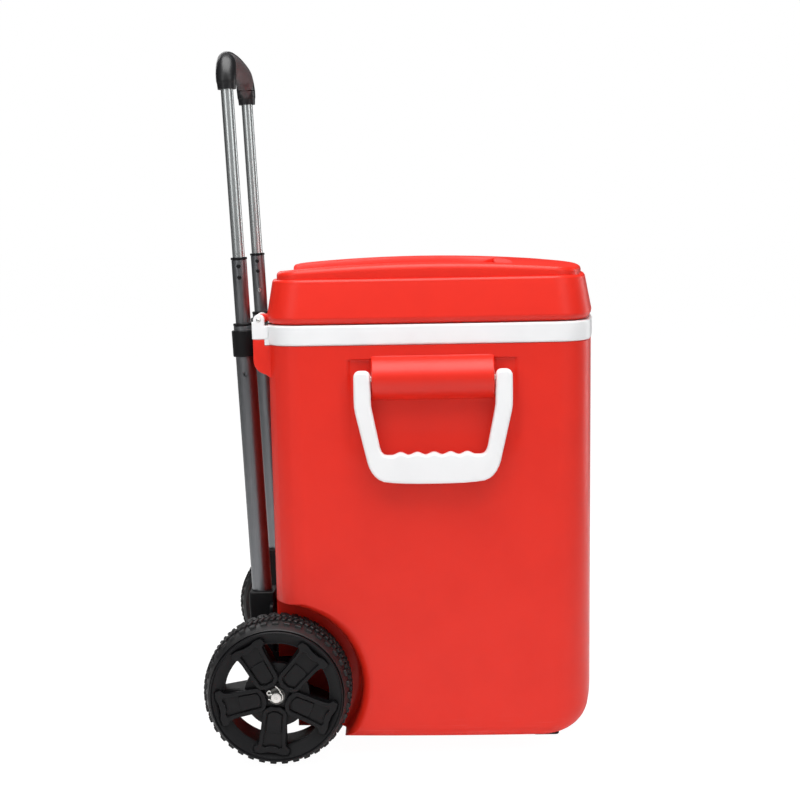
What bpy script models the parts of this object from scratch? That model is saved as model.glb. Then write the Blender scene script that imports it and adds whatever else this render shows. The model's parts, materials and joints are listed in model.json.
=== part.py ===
"""Tall hard cooler on two wheels, with a hinged lid, two swing handles and a telescopic pull handle.

Metres, +Z up. The front faces -Y, the wheels and the pull handle are at +Y, and the origin is on the
floor under the middle of the whole object's box. Left is -X and right is +X.
"""

import math

import bmesh
import bpy
from mathutils import Matrix, Vector

SIDES = {"left": -1, "right": 1}
GAP = 0.0003  # between pieces that touch

# Plan of the rim, which the body and the lid follow
HALF_WIDTH = 0.215
FRONT = -0.2248
REAR = 0.1595
CORNER = 0.037
BOW_FRONT = 0.0255
BOW_REAR = 0.0115
BOW_SIDE = 0.005
CORNER_STEPS = 5
SIDE_STEPS = 4

# Body
BODY_BOTTOM = 0.0245
BODY_TOP = 0.5153
BODY_STEP_IN = 0.0012
DRAFT = 0.0025
FRONT_EDGE_RADIUS = 0.040
SIDE_EDGE_RADIUS = 0.015
BOTTOM_TILT = 0.013
TILT_FADES_AT = 0.12
SHELL_WALL = 0.0032
FOAM_THICK = 0.024
FOAM_UNDER = 0.030
LINER_WALL = 0.003

# Rim, which is the liner's flange
RIM_BOTTOM = BODY_TOP + GAP
RIM_TOP = 0.540
RIM_SKIN = 0.0035

# Lid
LID_BOTTOM = RIM_TOP + GAP
LID_EDGE_RADIUS = 0.009
LID_STEP_HEIGHT = 0.5945
LID_LEAN = 0.008
LID_WALL = 0.003
RAIL_END_HEIGHT = 0.6040
RAIL_CROWN = 0.0077
RAIL_INSET = 0.0125
RAIL_EDGE_RADIUS = 0.006
CHANNEL_HALF = 0.150
CHANNEL_FLOOR = 0.5905
CHANNEL_FRONT = -0.140
SCOOP_START = 0.100
SCOOP_FLOOR = 0.5575
PLUG_DEPTH = 0.010
PLUG_INSET = 0.0345

# Lid hinges
HINGE_Y = 0.172
HINGE_Z = 0.546
HINGE_X = 0.165
HINGE_WIDTH = 0.050
EAR_WIDTH = 0.012
EAR_RADIUS = 0.0068
LUG_REAR = 0.1805
LUG_BOTTOM = 0.5225
LUG_STEP = 0.5435
HINGE_PIN_RADIUS = 0.0025
GUSSET_BOTTOM = 0.475
GUSSET_STRAIGHT_TO = 0.497

# Wheels and axle
AXLE_Y = 0.158
AXLE_Z = 0.0923
AXLE_RADIUS = 0.00625
AXLE_END = 0.2525
WHEEL_RADIUS = 0.0923
WHEEL_FACE = 0.250
WHEEL_WIDTH = 0.076
WELL_RADIUS = 0.115
WELL_INNER = 0.165
TUNNEL_FRONT = 0.138
TUNNEL_TOP = 0.118
SPOKES = 5
SPOKE_TURN = math.radians(47.6)
WINDOW_RADII = (0.041, 0.0645)
SPOKE_HALF_WIDTHS = (0.014, 0.0195)
CLIP_X = WHEEL_FACE - 0.0025
CLIP_WIRE = 0.0010
CLIP_TURN = math.radians(12)

# Pull handle
HANDLE_LEAN = math.radians(2.3)
HANDLE_BASE_Y = 0.176
TUBE_X = 0.1213
OUTER_RADIUS = 0.0125
OUTER_BORE = 0.0112
MIDDLE_RADIUS = 0.0095
MIDDLE_BORE = 0.0086
INNER_RADIUS = 0.0077
INNER_BORE = 0.0067
OUTER_ENDS = (0.112, 0.5357)
MIDDLE_ENDS = (0.290, 0.6184)
INNER_ENDS = (0.540, 0.853)
RING_HEIGHT = 0.0030
RUNNING = 0.0002  # clearance between telescoping pieces
GRIP_BOTTOM = 0.829
GRIP_BAR = 0.8665
GRIP_RADIUS = 0.0122
GRIP_BEND = 0.022
BUTTON_TRAVEL = 0.003
LOCK_HOLE_RADIUS = 0.0032
MIDDLE_LOCK_HOLE = 0.5697
OUTER_LOCK_HOLE = 0.4750
RIVETS_BELOW_RING = (0.011, 0.025)

# Upper bracket, in the pull handle's own frame
BRACKET_ENDS = (0.4969, 0.5304)
BRACKET_COLLAR = 0.0153
BRACKET_FRONT = -0.0235
BRACKET_REAR = 0.0055
PAD_REAR = 0.1722
PAD_HALF = 0.085
BRACKET_SCREW_X = 0.055
BRACKET_POCKETS = ((-0.100, -0.064), (-0.046, 0.046), (0.064, 0.100))
BRACKET_WEB = 0.0115
BRACKET_RIB = 0.005

# Axle brackets, which also hold the feet of the tubes
FOOT_HALF = 0.018
FLANGE_HALF = 0.034
FLANGE_FRONT = 0.1672
FLANGE_REAR = 0.1717
FLANGE_ENDS = (0.128, 0.182)
FOOT_TOP = 0.195
FLANGE_SCREW_Z = 0.155
FLANGE_SCREW_X = 0.026

# Swing handles
SWING_X = 0.2310
SWING_Y = -0.038
SWING_Z = 0.476
SWING_HALF = 0.095
ARM_WIDTH = 0.0205
ARM_KNEE = 0.443
SWING_THICK = 0.013
GRIP_UPPER = 0.384
GRIP_LOWER = 0.349
GRIP_INNER_HALF = 0.0615
BUMPS = 5
BUMP_PITCH = 0.020
BUMP_HEIGHT = 0.0034
SWING_ROD_RADIUS = 0.0035
BOSS_HALF = 0.0738
BOSS_HALF_HEIGHT = 0.026
BOSS_OUT = 0.0105
POCKET_HALF = 0.1035
POCKET_TOP = 0.4975
POCKET_BOTTOM = 0.352
POCKET_DEPTH = 0.006
POCKET_BACK = HALF_WIDTH + BOW_SIDE - POCKET_DEPTH - SHELL_WALL

# Front feet
FOOT_PAD_X = 0.115
FOOT_PAD_Y = -0.180
FOOT_PAD_SIZE = (0.052, 0.034)

# Screws
SCREW_HEAD = 0.0045
SCREW_HEAD_HEIGHT = 0.0022
SCREW_SHANK = 0.0020
SCREW_HOLE = 0.0023

# Roundness
FINE = 24
MEDIUM = 18
SMALL = 10
WHEEL_STEPS = 32
GRIP_STEPS = 16


# ---------------------------------------------------------------- tools


def clear_scene():
    for old in list(bpy.data.objects):
        bpy.data.objects.remove(old)


def material(name, colour, roughness, metallic=0.0):
    made = bpy.data.materials.new(name)
    made.use_nodes = True
    shader = made.node_tree.nodes["Principled BSDF"]
    shader.inputs["Base Color"].default_value = (*colour, 1.0)
    shader.inputs["Roughness"].default_value = roughness
    shader.inputs["Metallic"].default_value = metallic
    return made


def empty(name, location, rotation=(0.0, 0.0, 0.0)):
    made = bpy.data.objects.new(name, None)
    made.location = location
    made.rotation_euler = rotation
    bpy.context.scene.collection.objects.link(made)
    return made


def finish_mesh(name, mesh_data, finish=None, parent=None, location=(0.0, 0.0, 0.0)):
    """A scene object from a bmesh: a node when it has a finish, and otherwise a hidden cutter."""
    bmesh.ops.remove_doubles(mesh_data, verts=mesh_data.verts, dist=1e-6)
    bmesh.ops.recalc_face_normals(mesh_data, faces=mesh_data.faces)
    mesh = bpy.data.meshes.new(name)
    mesh_data.to_mesh(mesh)
    mesh_data.free()
    mesh.shade_smooth()
    mesh.set_sharp_from_angle(angle=math.radians(35))
    made = bpy.data.objects.new(name, mesh)
    made.parent = parent
    made.location = location
    bpy.context.scene.collection.objects.link(made)
    if finish:
        mesh.materials.append(finish)
    else:
        made.hide_render = True
        made.display_type = "WIRE"
    return made


def loft(name, rings, **where):
    """A closed solid through rings of equal length, with a flat cap on the first and the last."""
    shape = bmesh.new()
    rows = [[shape.verts.new(point) for point in ring] for ring in rings]
    count = len(rows[0])
    for lower, upper in zip(rows, rows[1:]):
        for i in range(count):
            j = (i + 1) % count
            shape.faces.new((lower[i], lower[j], upper[j], upper[i]))
    shape.faces.new(rows[0])
    shape.faces.new(rows[-1])
    return finish_mesh(name, shape, **where)


def prism(name, outline, low, high, along="X", **where):
    """An outline of (a, b) points extruded from low to high along an axis.

    The outline's plane is YZ for X, XZ for Y and XY for Z.
    """
    place = {
        "X": lambda a, b, c: (c, a, b),
        "Y": lambda a, b, c: (a, c, b),
        "Z": lambda a, b, c: (a, b, c),
    }[along]
    return loft(name, [[place(a, b, c) for a, b in outline] for c in (low, high)], **where)


def box(name, low, high, **where):
    outline = [(low[0], low[1]), (high[0], low[1]), (high[0], high[1]), (low[0], high[1])]
    return prism(name, outline, low[2], high[2], "Z", **where)


def turned(name, profile, axis="Z", steps=FINE, **where):
    """A closed profile of (radius, height) points turned about an axis through the object's origin."""
    turn = {"X": Matrix.Rotation(math.pi / 2, 3, "Y"), "Z": Matrix.Identity(3)}
    turn["Y"] = Matrix.Rotation(-math.pi / 2, 3, "X")
    shape = bmesh.new()
    columns = []
    for step in range(steps):
        angle = math.tau * step / steps
        spots = [(r * math.cos(angle), r * math.sin(angle), h) for r, h in profile]
        columns.append([shape.verts.new(turn[axis] @ Vector(spot)) for spot in spots])
    for i, column in enumerate(columns):
        after = columns[(i + 1) % steps]
        for a in range(len(profile)):
            b = (a + 1) % len(profile)
            if profile[a][0] or profile[b][0]:
                shape.faces.new((column[a], after[a], after[b], column[b]))
    bmesh.ops.dissolve_degenerate(shape, dist=1e-7, edges=shape.edges)
    return finish_mesh(name, shape, **where)


def rod(name, radius, low, high, axis="Z", steps=MEDIUM, **where):
    return turned(name, [(0, low), (radius, low), (radius, high), (0, high)], axis, steps, **where)


def tube(name, radius, bore, low, high, axis="Z", steps=FINE, **where):
    profile = [(bore, low), (radius, low), (radius, high), (bore, high)]
    return turned(name, profile, axis, steps, **where)


def combine(target, operation, *tools):
    for tool in tools:
        modifier = target.modifiers.new(f"{operation.lower()} {tool.name}", "BOOLEAN")
        modifier.operation = operation
        modifier.object = tool
    return target


def cut(target, *tools):
    return combine(target, "DIFFERENCE", *tools)


def join(target, *tools):
    return combine(target, "UNION", *tools)


def round_edges(target, width, segments=1, angle=40):
    bevel = target.modifiers.new("rounded edges", "BEVEL")
    bevel.width = width
    bevel.segments = segments
    bevel.limit_method = "ANGLE"
    bevel.angle_limit = math.radians(angle)
    bevel.use_clamp_overlap = True
    return target


def arc(centre, radius, start, end, steps):
    """Points of an arc of (a, b) from start to end, in degrees."""
    angles = [math.radians(start + (end - start) * i / steps) for i in range(steps + 1)]
    return [(centre[0] + radius * math.cos(a), centre[1] + radius * math.sin(a)) for a in angles]


# ---------------------------------------------------------------- plan of the box


def plan(inset=0.0, front_inset=None, rear_inset=None):
    """The rim's outline moved in: a rounded rectangle with outward bows, as (x, y) points."""
    half_x = HALF_WIDTH - inset
    front = FRONT + (inset if front_inset is None else front_inset)
    rear = REAR - (inset if rear_inset is None else rear_inset)
    middle = (front + rear) / 2
    half_y = (rear - front) / 2
    radius = max(CORNER - inset, 0.008)
    points = []
    for quarter, (sx, sy) in enumerate(((1, -1), (1, 1), (-1, 1), (-1, -1))):
        centre = (sx * (half_x - radius), sy * (half_y - radius))
        corner = arc(centre, radius, 90 * quarter - 90, 90 * quarter, CORNER_STEPS)
        if points:
            points += between(points[-1], corner[0])
        points += corner
    points += between(points[-1], points[0])
    return [bowed(x, y, half_x, half_y, middle) for x, y in points]


def between(start, end):
    """The points that divide a straight side."""
    shares = [i / SIDE_STEPS for i in range(1, SIDE_STEPS)]
    return [(start[0] + (end[0] - start[0]) * t, start[1] + (end[1] - start[1]) * t) for t in shares]


def bowed(x, y, half_x, half_y, middle):
    across, along = x / half_x, y / half_y
    bow = BOW_FRONT if y < 0 else BOW_REAR
    return (
        x + BOW_SIDE * across * (1 - along * along),
        middle + y + bow * along * (1 - across * across),
    )


def ring(height, inset=0.0, front_inset=None, rear_inset=None):
    return [(x, y, height) for x, y in plan(inset, front_inset, rear_inset)]


def rounding(height, radius):
    """How far a quarter-round edge is in at a height above its lowest line."""
    if height >= radius:
        return 0.0
    return radius - math.sqrt(radius * radius - (radius - height) ** 2)


def tilted(x, y, height):
    """The underside slopes a little, higher at the wheels."""
    fade = max(0.0, 1 - (height - BODY_BOTTOM) / TILT_FADES_AT)
    return (x, y, height + BOTTOM_TILT * fade * (y - (FRONT + REAR) / 2))


def body_rings(wall, top, bottom_wall=None):
    """Rings up the body's outside, or of a layer that lies this far inside it."""
    lift = wall if bottom_wall is None else bottom_wall
    heights = [0.0, 0.0025, 0.007, 0.015, 0.026, FRONT_EDGE_RADIUS]
    rings = []
    for height in heights:
        level = BODY_BOTTOM + lift + height
        side = BODY_STEP_IN + DRAFT + wall
        rings.append(
            ring(
                level,
                side + rounding(height, SIDE_EDGE_RADIUS),
                side + rounding(height, FRONT_EDGE_RADIUS),
            )
        )
    rings.append(ring(top, BODY_STEP_IN + wall))
    return [[tilted(*point) for point in one] for one in rings]


# ---------------------------------------------------------------- body


def wheel_space(name, grow):
    """The room for the wheels and the axle, grown evenly: two round wells and the tunnel between them."""
    far = 0.30
    tunnel = box(
        name,
        (-far + 0.01, TUNNEL_FRONT - grow, -0.05),
        (far - 0.01, far, TUNNEL_TOP + grow),
    )
    for side, sign in SIDES.items():
        low, high = sorted((sign * (WELL_INNER - grow), sign * far))
        well = rod(f"{name}_{side}", WELL_RADIUS + grow, low, high, "X", WHEEL_STEPS)
        well.location = (0, AXLE_Y, AXLE_Z)
        join(tunnel, well)
    return tunnel


def gusset(name, x_low, x_high):
    """The bulge of the body under a hinge lug."""
    rear = LUG_REAR - 0.001
    front = 0.1575
    step = 0.1678
    turn = rear - 0.0175
    outline = [
        (front, GUSSET_BOTTOM - 0.001),
        (front, BODY_TOP - GAP),
        (step, BODY_TOP - GAP),
        (step, LUG_BOTTOM - GAP),
        (rear, LUG_BOTTOM - GAP),
    ]
    outline += arc((turn, GUSSET_STRAIGHT_TO), rear - turn, 0, -80, 5)
    return prism(name, outline, x_low, x_high)


def side_boss(name, sign):
    """The rounded boss that carries a swing handle's rod."""
    near, far = 0.205, SWING_X + BOSS_OUT
    reach = far - 0.2160
    outline = [(near, SWING_Z - BOSS_HALF_HEIGHT)]
    for step in range(9):
        angle = math.radians(-90 + 180 * step / 8)
        spot = (0.2160 + reach * math.cos(angle), SWING_Z + BOSS_HALF_HEIGHT * math.sin(angle))
        outline.append(spot)
    outline.append((near, SWING_Z + BOSS_HALF_HEIGHT))
    outline = [(sign * a, b) for a, b in outline]
    return prism(name, outline, SWING_Y - BOSS_HALF, SWING_Y + BOSS_HALF, "Y")


def side_pocket(name, sign):
    """The shallow hollow behind a swing handle: deepest at its upper ledge."""
    skin = HALF_WIDTH + BOW_SIDE
    outline = [
        (sign * (skin - POCKET_DEPTH), POCKET_TOP),
        (sign * (skin - POCKET_DEPTH), POCKET_TOP - 0.090),
        (sign * (skin + 0.001), POCKET_BOTTOM),
        (sign * (skin + 0.02), POCKET_BOTTOM),
        (sign * (skin + 0.02), POCKET_TOP),
    ]
    return prism(name, outline, SWING_Y - POCKET_HALF, SWING_Y + POCKET_HALF, "Y")


def pocket_backing(name, sign, grow):
    """The block behind a pocket that stays solid, so that the wall is whole there."""
    inner = POCKET_BACK - grow
    low, high = sorted((sign * inner, sign * 0.25))
    half = POCKET_HALF + SHELL_WALL + grow
    top = POCKET_TOP + SHELL_WALL + grow
    return box(name, (low, SWING_Y - half, POCKET_BOTTOM - grow), (high, SWING_Y + half, top))


def screw_holes(name, places, low, high, radius=SCREW_HOLE):
    """Round cutters along Y at (x, z) places."""
    holes = []
    for index, (x, z) in enumerate(places):
        hole = rod(f"{name}_{index}", radius, low, high, "Y", SMALL)
        hole.location = (x, 0, z)
        holes.append(hole)
    return holes


def flange_screw_places(sign):
    return [(sign * TUBE_X + offset, FLANGE_SCREW_Z) for offset in (-FLANGE_SCREW_X, FLANGE_SCREW_X)]


def bracket_screw_height():
    """World height of the upper bracket's screws."""
    return sum(BRACKET_ENDS) / 2 * math.cos(HANDLE_LEAN)


def build_body(finishes):
    shell = loft("body_shell", body_rings(0.0, BODY_TOP), finish=finishes["red"])
    cavity = loft("shell_cavity", body_rings(SHELL_WALL, BODY_TOP + 0.02))
    cut(cavity, wheel_space("shell_housing", SHELL_WALL))
    pad_z = bracket_screw_height()
    pad = box("bracket_pad", (-PAD_HALF, 0.155, pad_z - 0.0145), (PAD_HALF, PAD_REAR, BODY_TOP - GAP))
    join(shell, pad)
    for side, sign in SIDES.items():
        hinge_low = sign * HINGE_X - HINGE_WIDTH / 2
        cut(shell, side_pocket(f"pocket_{side}", sign))
        join(shell, gusset(f"gusset_{side}", hinge_low, hinge_low + HINGE_WIDTH))
        join(shell, side_boss(f"boss_{side}", sign))
        bore = rod(f"boss_bore_{side}", SWING_ROD_RADIUS + GAP, SWING_Y - 0.11, SWING_Y + 0.11, "Y")
        bore.location = (sign * SWING_X, 0, SWING_Z)
        cut(shell, bore)
        cut(cavity, pocket_backing(f"pocket_wall_{side}", sign, 0.0))
        cut(shell, *screw_holes(f"flange_hole_{side}", flange_screw_places(sign), 0.14, 0.20))
        foot_hole = rod(f"foot_hole_{side}", SCREW_HOLE, -0.01, 0.06, "Z", SMALL)
        foot_hole.location = (sign * FOOT_PAD_X, FOOT_PAD_Y, 0)
        cut(shell, foot_hole)
    cut(shell, cavity, wheel_space("wheel_space", 0.0))
    places = [(-BRACKET_SCREW_X, pad_z), (BRACKET_SCREW_X, pad_z)]
    cut(shell, *screw_holes("pad_hole", places, 0.14, 0.20))
    build_foam(finishes)
    build_liner(finishes)
    build_feet(finishes)


def liner_rings(wall, top):
    """Rings of the tub's outside, or of its inside when the wall is added."""
    inset = SHELL_WALL + FOAM_THICK + BODY_STEP_IN + wall
    floor = BODY_BOTTOM + SHELL_WALL + FOAM_UNDER + wall
    edge = 0.020
    rings = []
    for height in (0.0, 0.006, edge):
        extra = rounding(height, edge) + 0.004
        rings.append(ring(floor + height, inset + extra))
    rings.append(ring(top, inset))
    return rings


def build_foam(finishes):
    layer = SHELL_WALL + GAP
    rings = body_rings(layer + 0.0005, BODY_TOP - 0.002)
    rings.append(ring(BODY_TOP + 0.004, 0.0075))
    rings.append(ring(RIM_TOP - RIM_SKIN - GAP, 0.0075))
    foam = loft("body_foam", rings, finish=finishes["foam"])
    hollow = loft("foam_hollow", liner_rings(-GAP, RIM_TOP + 0.01))
    cut(hollow, wheel_space("foam_step", 0.0200 - GAP))
    for side, sign in SIDES.items():
        cut(foam, pocket_backing(f"foam_recess_{side}", sign, GAP))
    cut(foam, hollow, wheel_space("foam_wheel_space", SHELL_WALL + GAP))


def hinge_ear(name, x_low, x_high):
    """One upright ear of a hinge lug, round about the hinge's axis."""
    front = HINGE_Y - EAR_RADIUS
    base = RIM_TOP - 0.007
    outline = [(front, base), (LUG_REAR, base), (LUG_REAR, LUG_STEP)]
    outline += arc((HINGE_Y, HINGE_Z), EAR_RADIUS, -15, 180, 10)
    return prism(name, outline, x_low, x_high)


def hinge_pin_hole(name, sign, radius):
    hole = rod(name, radius, -HINGE_WIDTH, HINGE_WIDTH, "X", MEDIUM)
    hole.location = (sign * HINGE_X, HINGE_Y, HINGE_Z)
    return hole


def build_liner(finishes):
    tub_top = RIM_TOP - RIM_SKIN
    wall_inset = SHELL_WALL + FOAM_THICK + BODY_STEP_IN
    rings = liner_rings(0.0, tub_top)
    rings[-1] = ring(tub_top, wall_inset)
    rings += [
        ring(tub_top, RIM_SKIN + 0.0015),
        ring(RIM_BOTTOM, RIM_SKIN + 0.0015),
        ring(RIM_BOTTOM, 0.0015),
        ring(RIM_BOTTOM + 0.0025, 0.0),
        ring(RIM_TOP - 0.0015, 0.0),
        ring(RIM_TOP, 0.0015),
    ]
    liner = loft("inner_liner", rings, finish=finishes["white"])
    cavity = loft("liner_cavity", liner_rings(LINER_WALL, RIM_TOP + 0.01))
    cut(cavity, wheel_space("liner_step", 0.0200 + LINER_WALL))
    cut(liner, cavity, wheel_space("liner_wheel_space", 0.0200))
    for side, sign in SIDES.items():
        low = sign * HINGE_X - HINGE_WIDTH / 2
        high = low + HINGE_WIDTH
        lug = box(f"lug_{side}", (low, 0.1605, LUG_BOTTOM), (high, LUG_REAR, RIM_TOP - 0.0012))
        join(liner, lug)
        join(liner, hinge_ear(f"ear_{side}_a", low, low + EAR_WIDTH))
        join(liner, hinge_ear(f"ear_{side}_b", high - EAR_WIDTH, high))
        cut(liner, hinge_pin_hole(f"ear_bore_{side}", sign, HINGE_PIN_RADIUS + GAP))


def build_feet(finishes):
    width, depth = FOOT_PAD_SIZE
    under = BODY_BOTTOM + BOTTOM_TILT * (FOOT_PAD_Y - (FRONT + REAR) / 2)
    top = under - 0.0008
    for side, sign in SIDES.items():
        rings = []
        for height, shrink in ((0.0, 0.006), (0.002, 0.003), (top, 0.0)):
            x, y = width / 2 - shrink, depth / 2 - shrink
            corner = [(x, -y), (x, y), (-x, y), (-x, -y)]
            rings.append([(a, b, height) for a, b in corner])
        foot = loft(
            f"front_foot_{side}",
            rings,
            finish=finishes["rubber"],
            location=(sign * FOOT_PAD_X, FOOT_PAD_Y, 0),
        )
        sink = turned(
            f"foot_bore_{side}",
            [(0, -0.01), (SCREW_HEAD + 0.0008, -0.01), (SCREW_HEAD + 0.0008, 0.008),
             (SCREW_HOLE, 0.008), (SCREW_HOLE, 0.05), (0, 0.05)],
            steps=SMALL,
        )
        sink.location = foot.location
        cut(foot, sink)
        head_top = 0.008 - GAP
        turned(
            f"foot_screw_{side}",
            [(0, head_top - SCREW_HEAD_HEIGHT), (SCREW_HEAD, head_top - SCREW_HEAD_HEIGHT),
             (SCREW_HEAD, head_top), (SCREW_SHANK, head_top), (SCREW_SHANK, under + SHELL_WALL),
             (0, under + SHELL_WALL)],
            steps=SMALL,
            finish=finishes["steel"],
            location=foot.location,
        )


# ---------------------------------------------------------------- lid


def rail_height(y):
    """The raised top's crown: highest half-way from front to rear."""
    middle = (FRONT - BOW_FRONT + REAR) / 2
    half = (REAR - FRONT + BOW_FRONT) / 2 - RAIL_INSET
    share = min(1.0, abs(y - middle) / half)
    return RAIL_END_HEIGHT + RAIL_CROWN * (1 - share * share)


def raised_top(name, drop=0.0):
    """The block that stands on the lid, made of cross-sections from rear to front."""
    inset = RAIL_INSET + drop
    half_x = HALF_WIDTH + BOW_SIDE * 0.6 - inset
    rear = REAR + BOW_REAR * 0.35 - inset
    front = FRONT - BOW_FRONT * 0.35 + inset
    corner = CORNER - inset * 0.5
    sections = []
    shares = [0.0, 0.15, 0.4, 0.7]
    depths = [corner * share for share in shares]
    spots = [rear - d for d in depths]
    spots += [rear - corner + (front + corner - rear + corner) * i / 7 for i in range(8)]
    spots += [front + d for d in reversed(depths)]
    base = LID_STEP_HEIGHT - 0.008
    for y in spots:
        edge = min(y - front, rear - y)
        narrow = rounding(max(edge, 0.0), corner)
        top = rail_height(y) - drop
        half = half_x - narrow
        r = RAIL_EDGE_RADIUS
        shoulder = r * 0.3
        end = rounding(min(max(edge, 0.0), r), r)
        outline = [(-half, base), (half, base)]
        outline += [(half, top - r - end * 0.3), (half - shoulder, top - 0.0020 - end)]
        outline += [(half - r, top - end), (-half + r, top - end)]
        outline += [(-half + shoulder, top - 0.0020 - end), (-half, top - r - end * 0.3)]
        sections.append([(x, y, z) for x, z in outline])
    return loft(name, sections)


def lid_rings(wall):
    """Rings up the lid's side, from its rounded lower edge to the step."""
    bottom = LID_BOTTOM
    rings = []
    for angle in (0, 30, 60, 90):
        spread = math.radians(angle)
        inset = LID_EDGE_RADIUS * (1 - math.sin(spread))
        rings.append(ring(bottom + LID_EDGE_RADIUS * (1 - math.cos(spread)), inset + wall + 0.0005))
    top = LID_STEP_HEIGHT - wall
    rings.append(ring(top - 0.004, LID_LEAN - 0.0006 + wall))
    rings.append(ring(top - 0.0012, LID_LEAN + 0.0006 + wall))
    rings.append(ring(top, LID_LEAN + 0.0035 + wall))
    return rings


def channel(name, grow):
    """The hollow between the rails. It falls away at the rear, to clear the tubes as the lid opens."""
    half = CHANNEL_HALF + grow
    floor = CHANNEL_FLOOR - grow
    outline = [
        (CHANNEL_FRONT - grow, floor),
        (SCOOP_START, floor),
        (REAR + 0.004, SCOOP_FLOOR - grow),
        (REAR + 0.06, SCOOP_FLOOR - grow),
        (REAR + 0.06, 0.66),
        (CHANNEL_FRONT - grow - 0.012, 0.66),
        (CHANNEL_FRONT - grow - 0.006, CHANNEL_FLOOR + 0.010),
    ]
    return prism(name, outline, -half, half)


def build_lid(finishes, hinge):
    at_hinge = (0, -HINGE_Y, -HINGE_Z)
    shell = loft("lid_shell", lid_rings(0.0), finish=finishes["red"], parent=hinge, location=at_hinge)
    join(shell, raised_top("raised_top"))
    cut(shell, channel("channel", 0.0))
    hollow_rings = lid_rings(LID_WALL)
    hollow_rings[0] = ring(LID_BOTTOM - 0.01, LID_EDGE_RADIUS + LID_WALL)
    hollow_rings[1] = ring(LID_BOTTOM + 0.001, LID_EDGE_RADIUS + LID_WALL)
    hollow = loft("lid_hollow", hollow_rings)
    join(hollow, raised_top("raised_hollow", LID_WALL))
    cut(hollow, channel("channel_wall", LID_WALL))
    cut(shell, hollow)
    for side, sign in SIDES.items():
        half = HINGE_WIDTH / 2 - EAR_WIDTH - 0.0006
        low, high = sign * HINGE_X - half, sign * HINGE_X + half
        outline = [(0.1585, LID_BOTTOM + 0.0065), (0.1585, HINGE_Z + 0.0060)]
        outline += arc((HINGE_Y, HINGE_Z), 0.0062, 75, -110, 9)
        join(shell, prism(f"knuckle_{side}", outline, low, high))
        cut(shell, hinge_pin_hole(f"knuckle_bore_{side}", sign, HINGE_PIN_RADIUS + GAP))
        pin = rod(
            f"hinge_pin_{side}",
            HINGE_PIN_RADIUS,
            -HINGE_WIDTH / 2 - 0.001,
            HINGE_WIDTH / 2 + 0.001,
            "X",
            SMALL,
            finish=finishes["steel"],
        )
        pin.location = (sign * HINGE_X, HINGE_Y, HINGE_Z)
    slab_inset = LID_EDGE_RADIUS + LID_WALL + 0.0015
    panel_top = LID_BOTTOM + 0.0030
    opening = SHELL_WALL + FOAM_THICK + BODY_STEP_IN + LINER_WALL + 0.002
    loft(
        "lid_liner",
        [
            ring(RIM_TOP - PLUG_DEPTH, opening + 0.004),
            ring(RIM_TOP - PLUG_DEPTH + 0.002, opening + 0.001),
            ring(RIM_TOP + GAP, opening),
            ring(RIM_TOP + GAP, slab_inset),
            ring(panel_top, slab_inset),
        ],
        finish=finishes["white"],
        parent=hinge,
        location=at_hinge,
    )
    foam_low = panel_top + GAP
    foam_high = SCOOP_FLOOR - LID_WALL - 0.001
    loft(
        "lid_foam",
        [
            ring(foam_low, slab_inset),
            ring(foam_high, slab_inset),
            ring(foam_high + 0.001, slab_inset + 0.001, None, 0.055 + slab_inset),
            ring(CHANNEL_FLOOR - LID_WALL - 0.001, LID_LEAN + LID_WALL + 0.008, None, 0.095),
        ],
        finish=finishes["foam"],
        parent=hinge,
        location=at_hinge,
    )


# ---------------------------------------------------------------- swing handles


def swing_outline():
    """Half of a swing handle's outline, as (y, z) from its middle line, then mirrored."""
    pivot = SWING_HALF - ARM_WIDTH / 2
    outer = [(0.0, GRIP_LOWER), (0.035, GRIP_LOWER + 0.0006), (0.0606, GRIP_LOWER + 0.003)]
    outer += [(0.0710, GRIP_LOWER + 0.0095), (0.0780, GRIP_LOWER + 0.0205), (0.0815, GRIP_LOWER + 0.033)]
    outer += [(SWING_HALF - 0.0007, ARM_KNEE - 0.004), (SWING_HALF, ARM_KNEE + 0.003)]
    outer += arc((pivot, SWING_Z), ARM_WIDTH / 2, 0, 180, 8)
    inner_edge = SWING_HALF - ARM_WIDTH
    outer += [(inner_edge, ARM_KNEE + 0.004), (inner_edge - 0.0006, ARM_KNEE - 0.003)]
    outer += [(GRIP_INNER_HALF + 0.003, GRIP_UPPER + 0.009), (GRIP_INNER_HALF - 0.0005, GRIP_UPPER + 0.0025)]
    reach = BUMPS * BUMP_PITCH / 2
    outer.append((GRIP_INNER_HALF - 0.006, GRIP_UPPER))
    steps = 2 * BUMPS
    for step in range(steps + 1):
        y = reach * (1 - step / steps)
        lift = BUMP_HEIGHT * (0.5 - 0.5 * math.cos(math.tau * (reach - y) / BUMP_PITCH))
        outer.append((y, GRIP_UPPER + lift))
    mirrored = [(-y, z) for y, z in reversed(outer[1:-1])]
    return outer + mirrored


def build_swing_handles(finishes):
    for side, sign in SIDES.items():
        pivot = empty(f"swing_axis_{side}", (sign * SWING_X, SWING_Y, SWING_Z))
        outline = [(y, z - SWING_Z) for y, z in swing_outline()]
        handle = prism(
            f"swing_handle_{side}",
            outline,
            -SWING_THICK / 2,
            SWING_THICK / 2,
            finish=finishes["white"],
            parent=pivot,
        )
        round_edges(handle, 0.0025, 1, 50)
        bore = rod(f"arm_bore_{side}", SWING_ROD_RADIUS + GAP, -0.12, 0.12, "Y")
        bore.parent = pivot
        cut(handle, bore)
        reach = SWING_HALF - 0.004
        rod(
            f"swing_rod_{side}",
            SWING_ROD_RADIUS,
            -reach,
            reach,
            "Y",
            SMALL,
            finish=finishes["steel"],
            location=(sign * SWING_X, SWING_Y, SWING_Z),
        )


# ---------------------------------------------------------------- wheels


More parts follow.
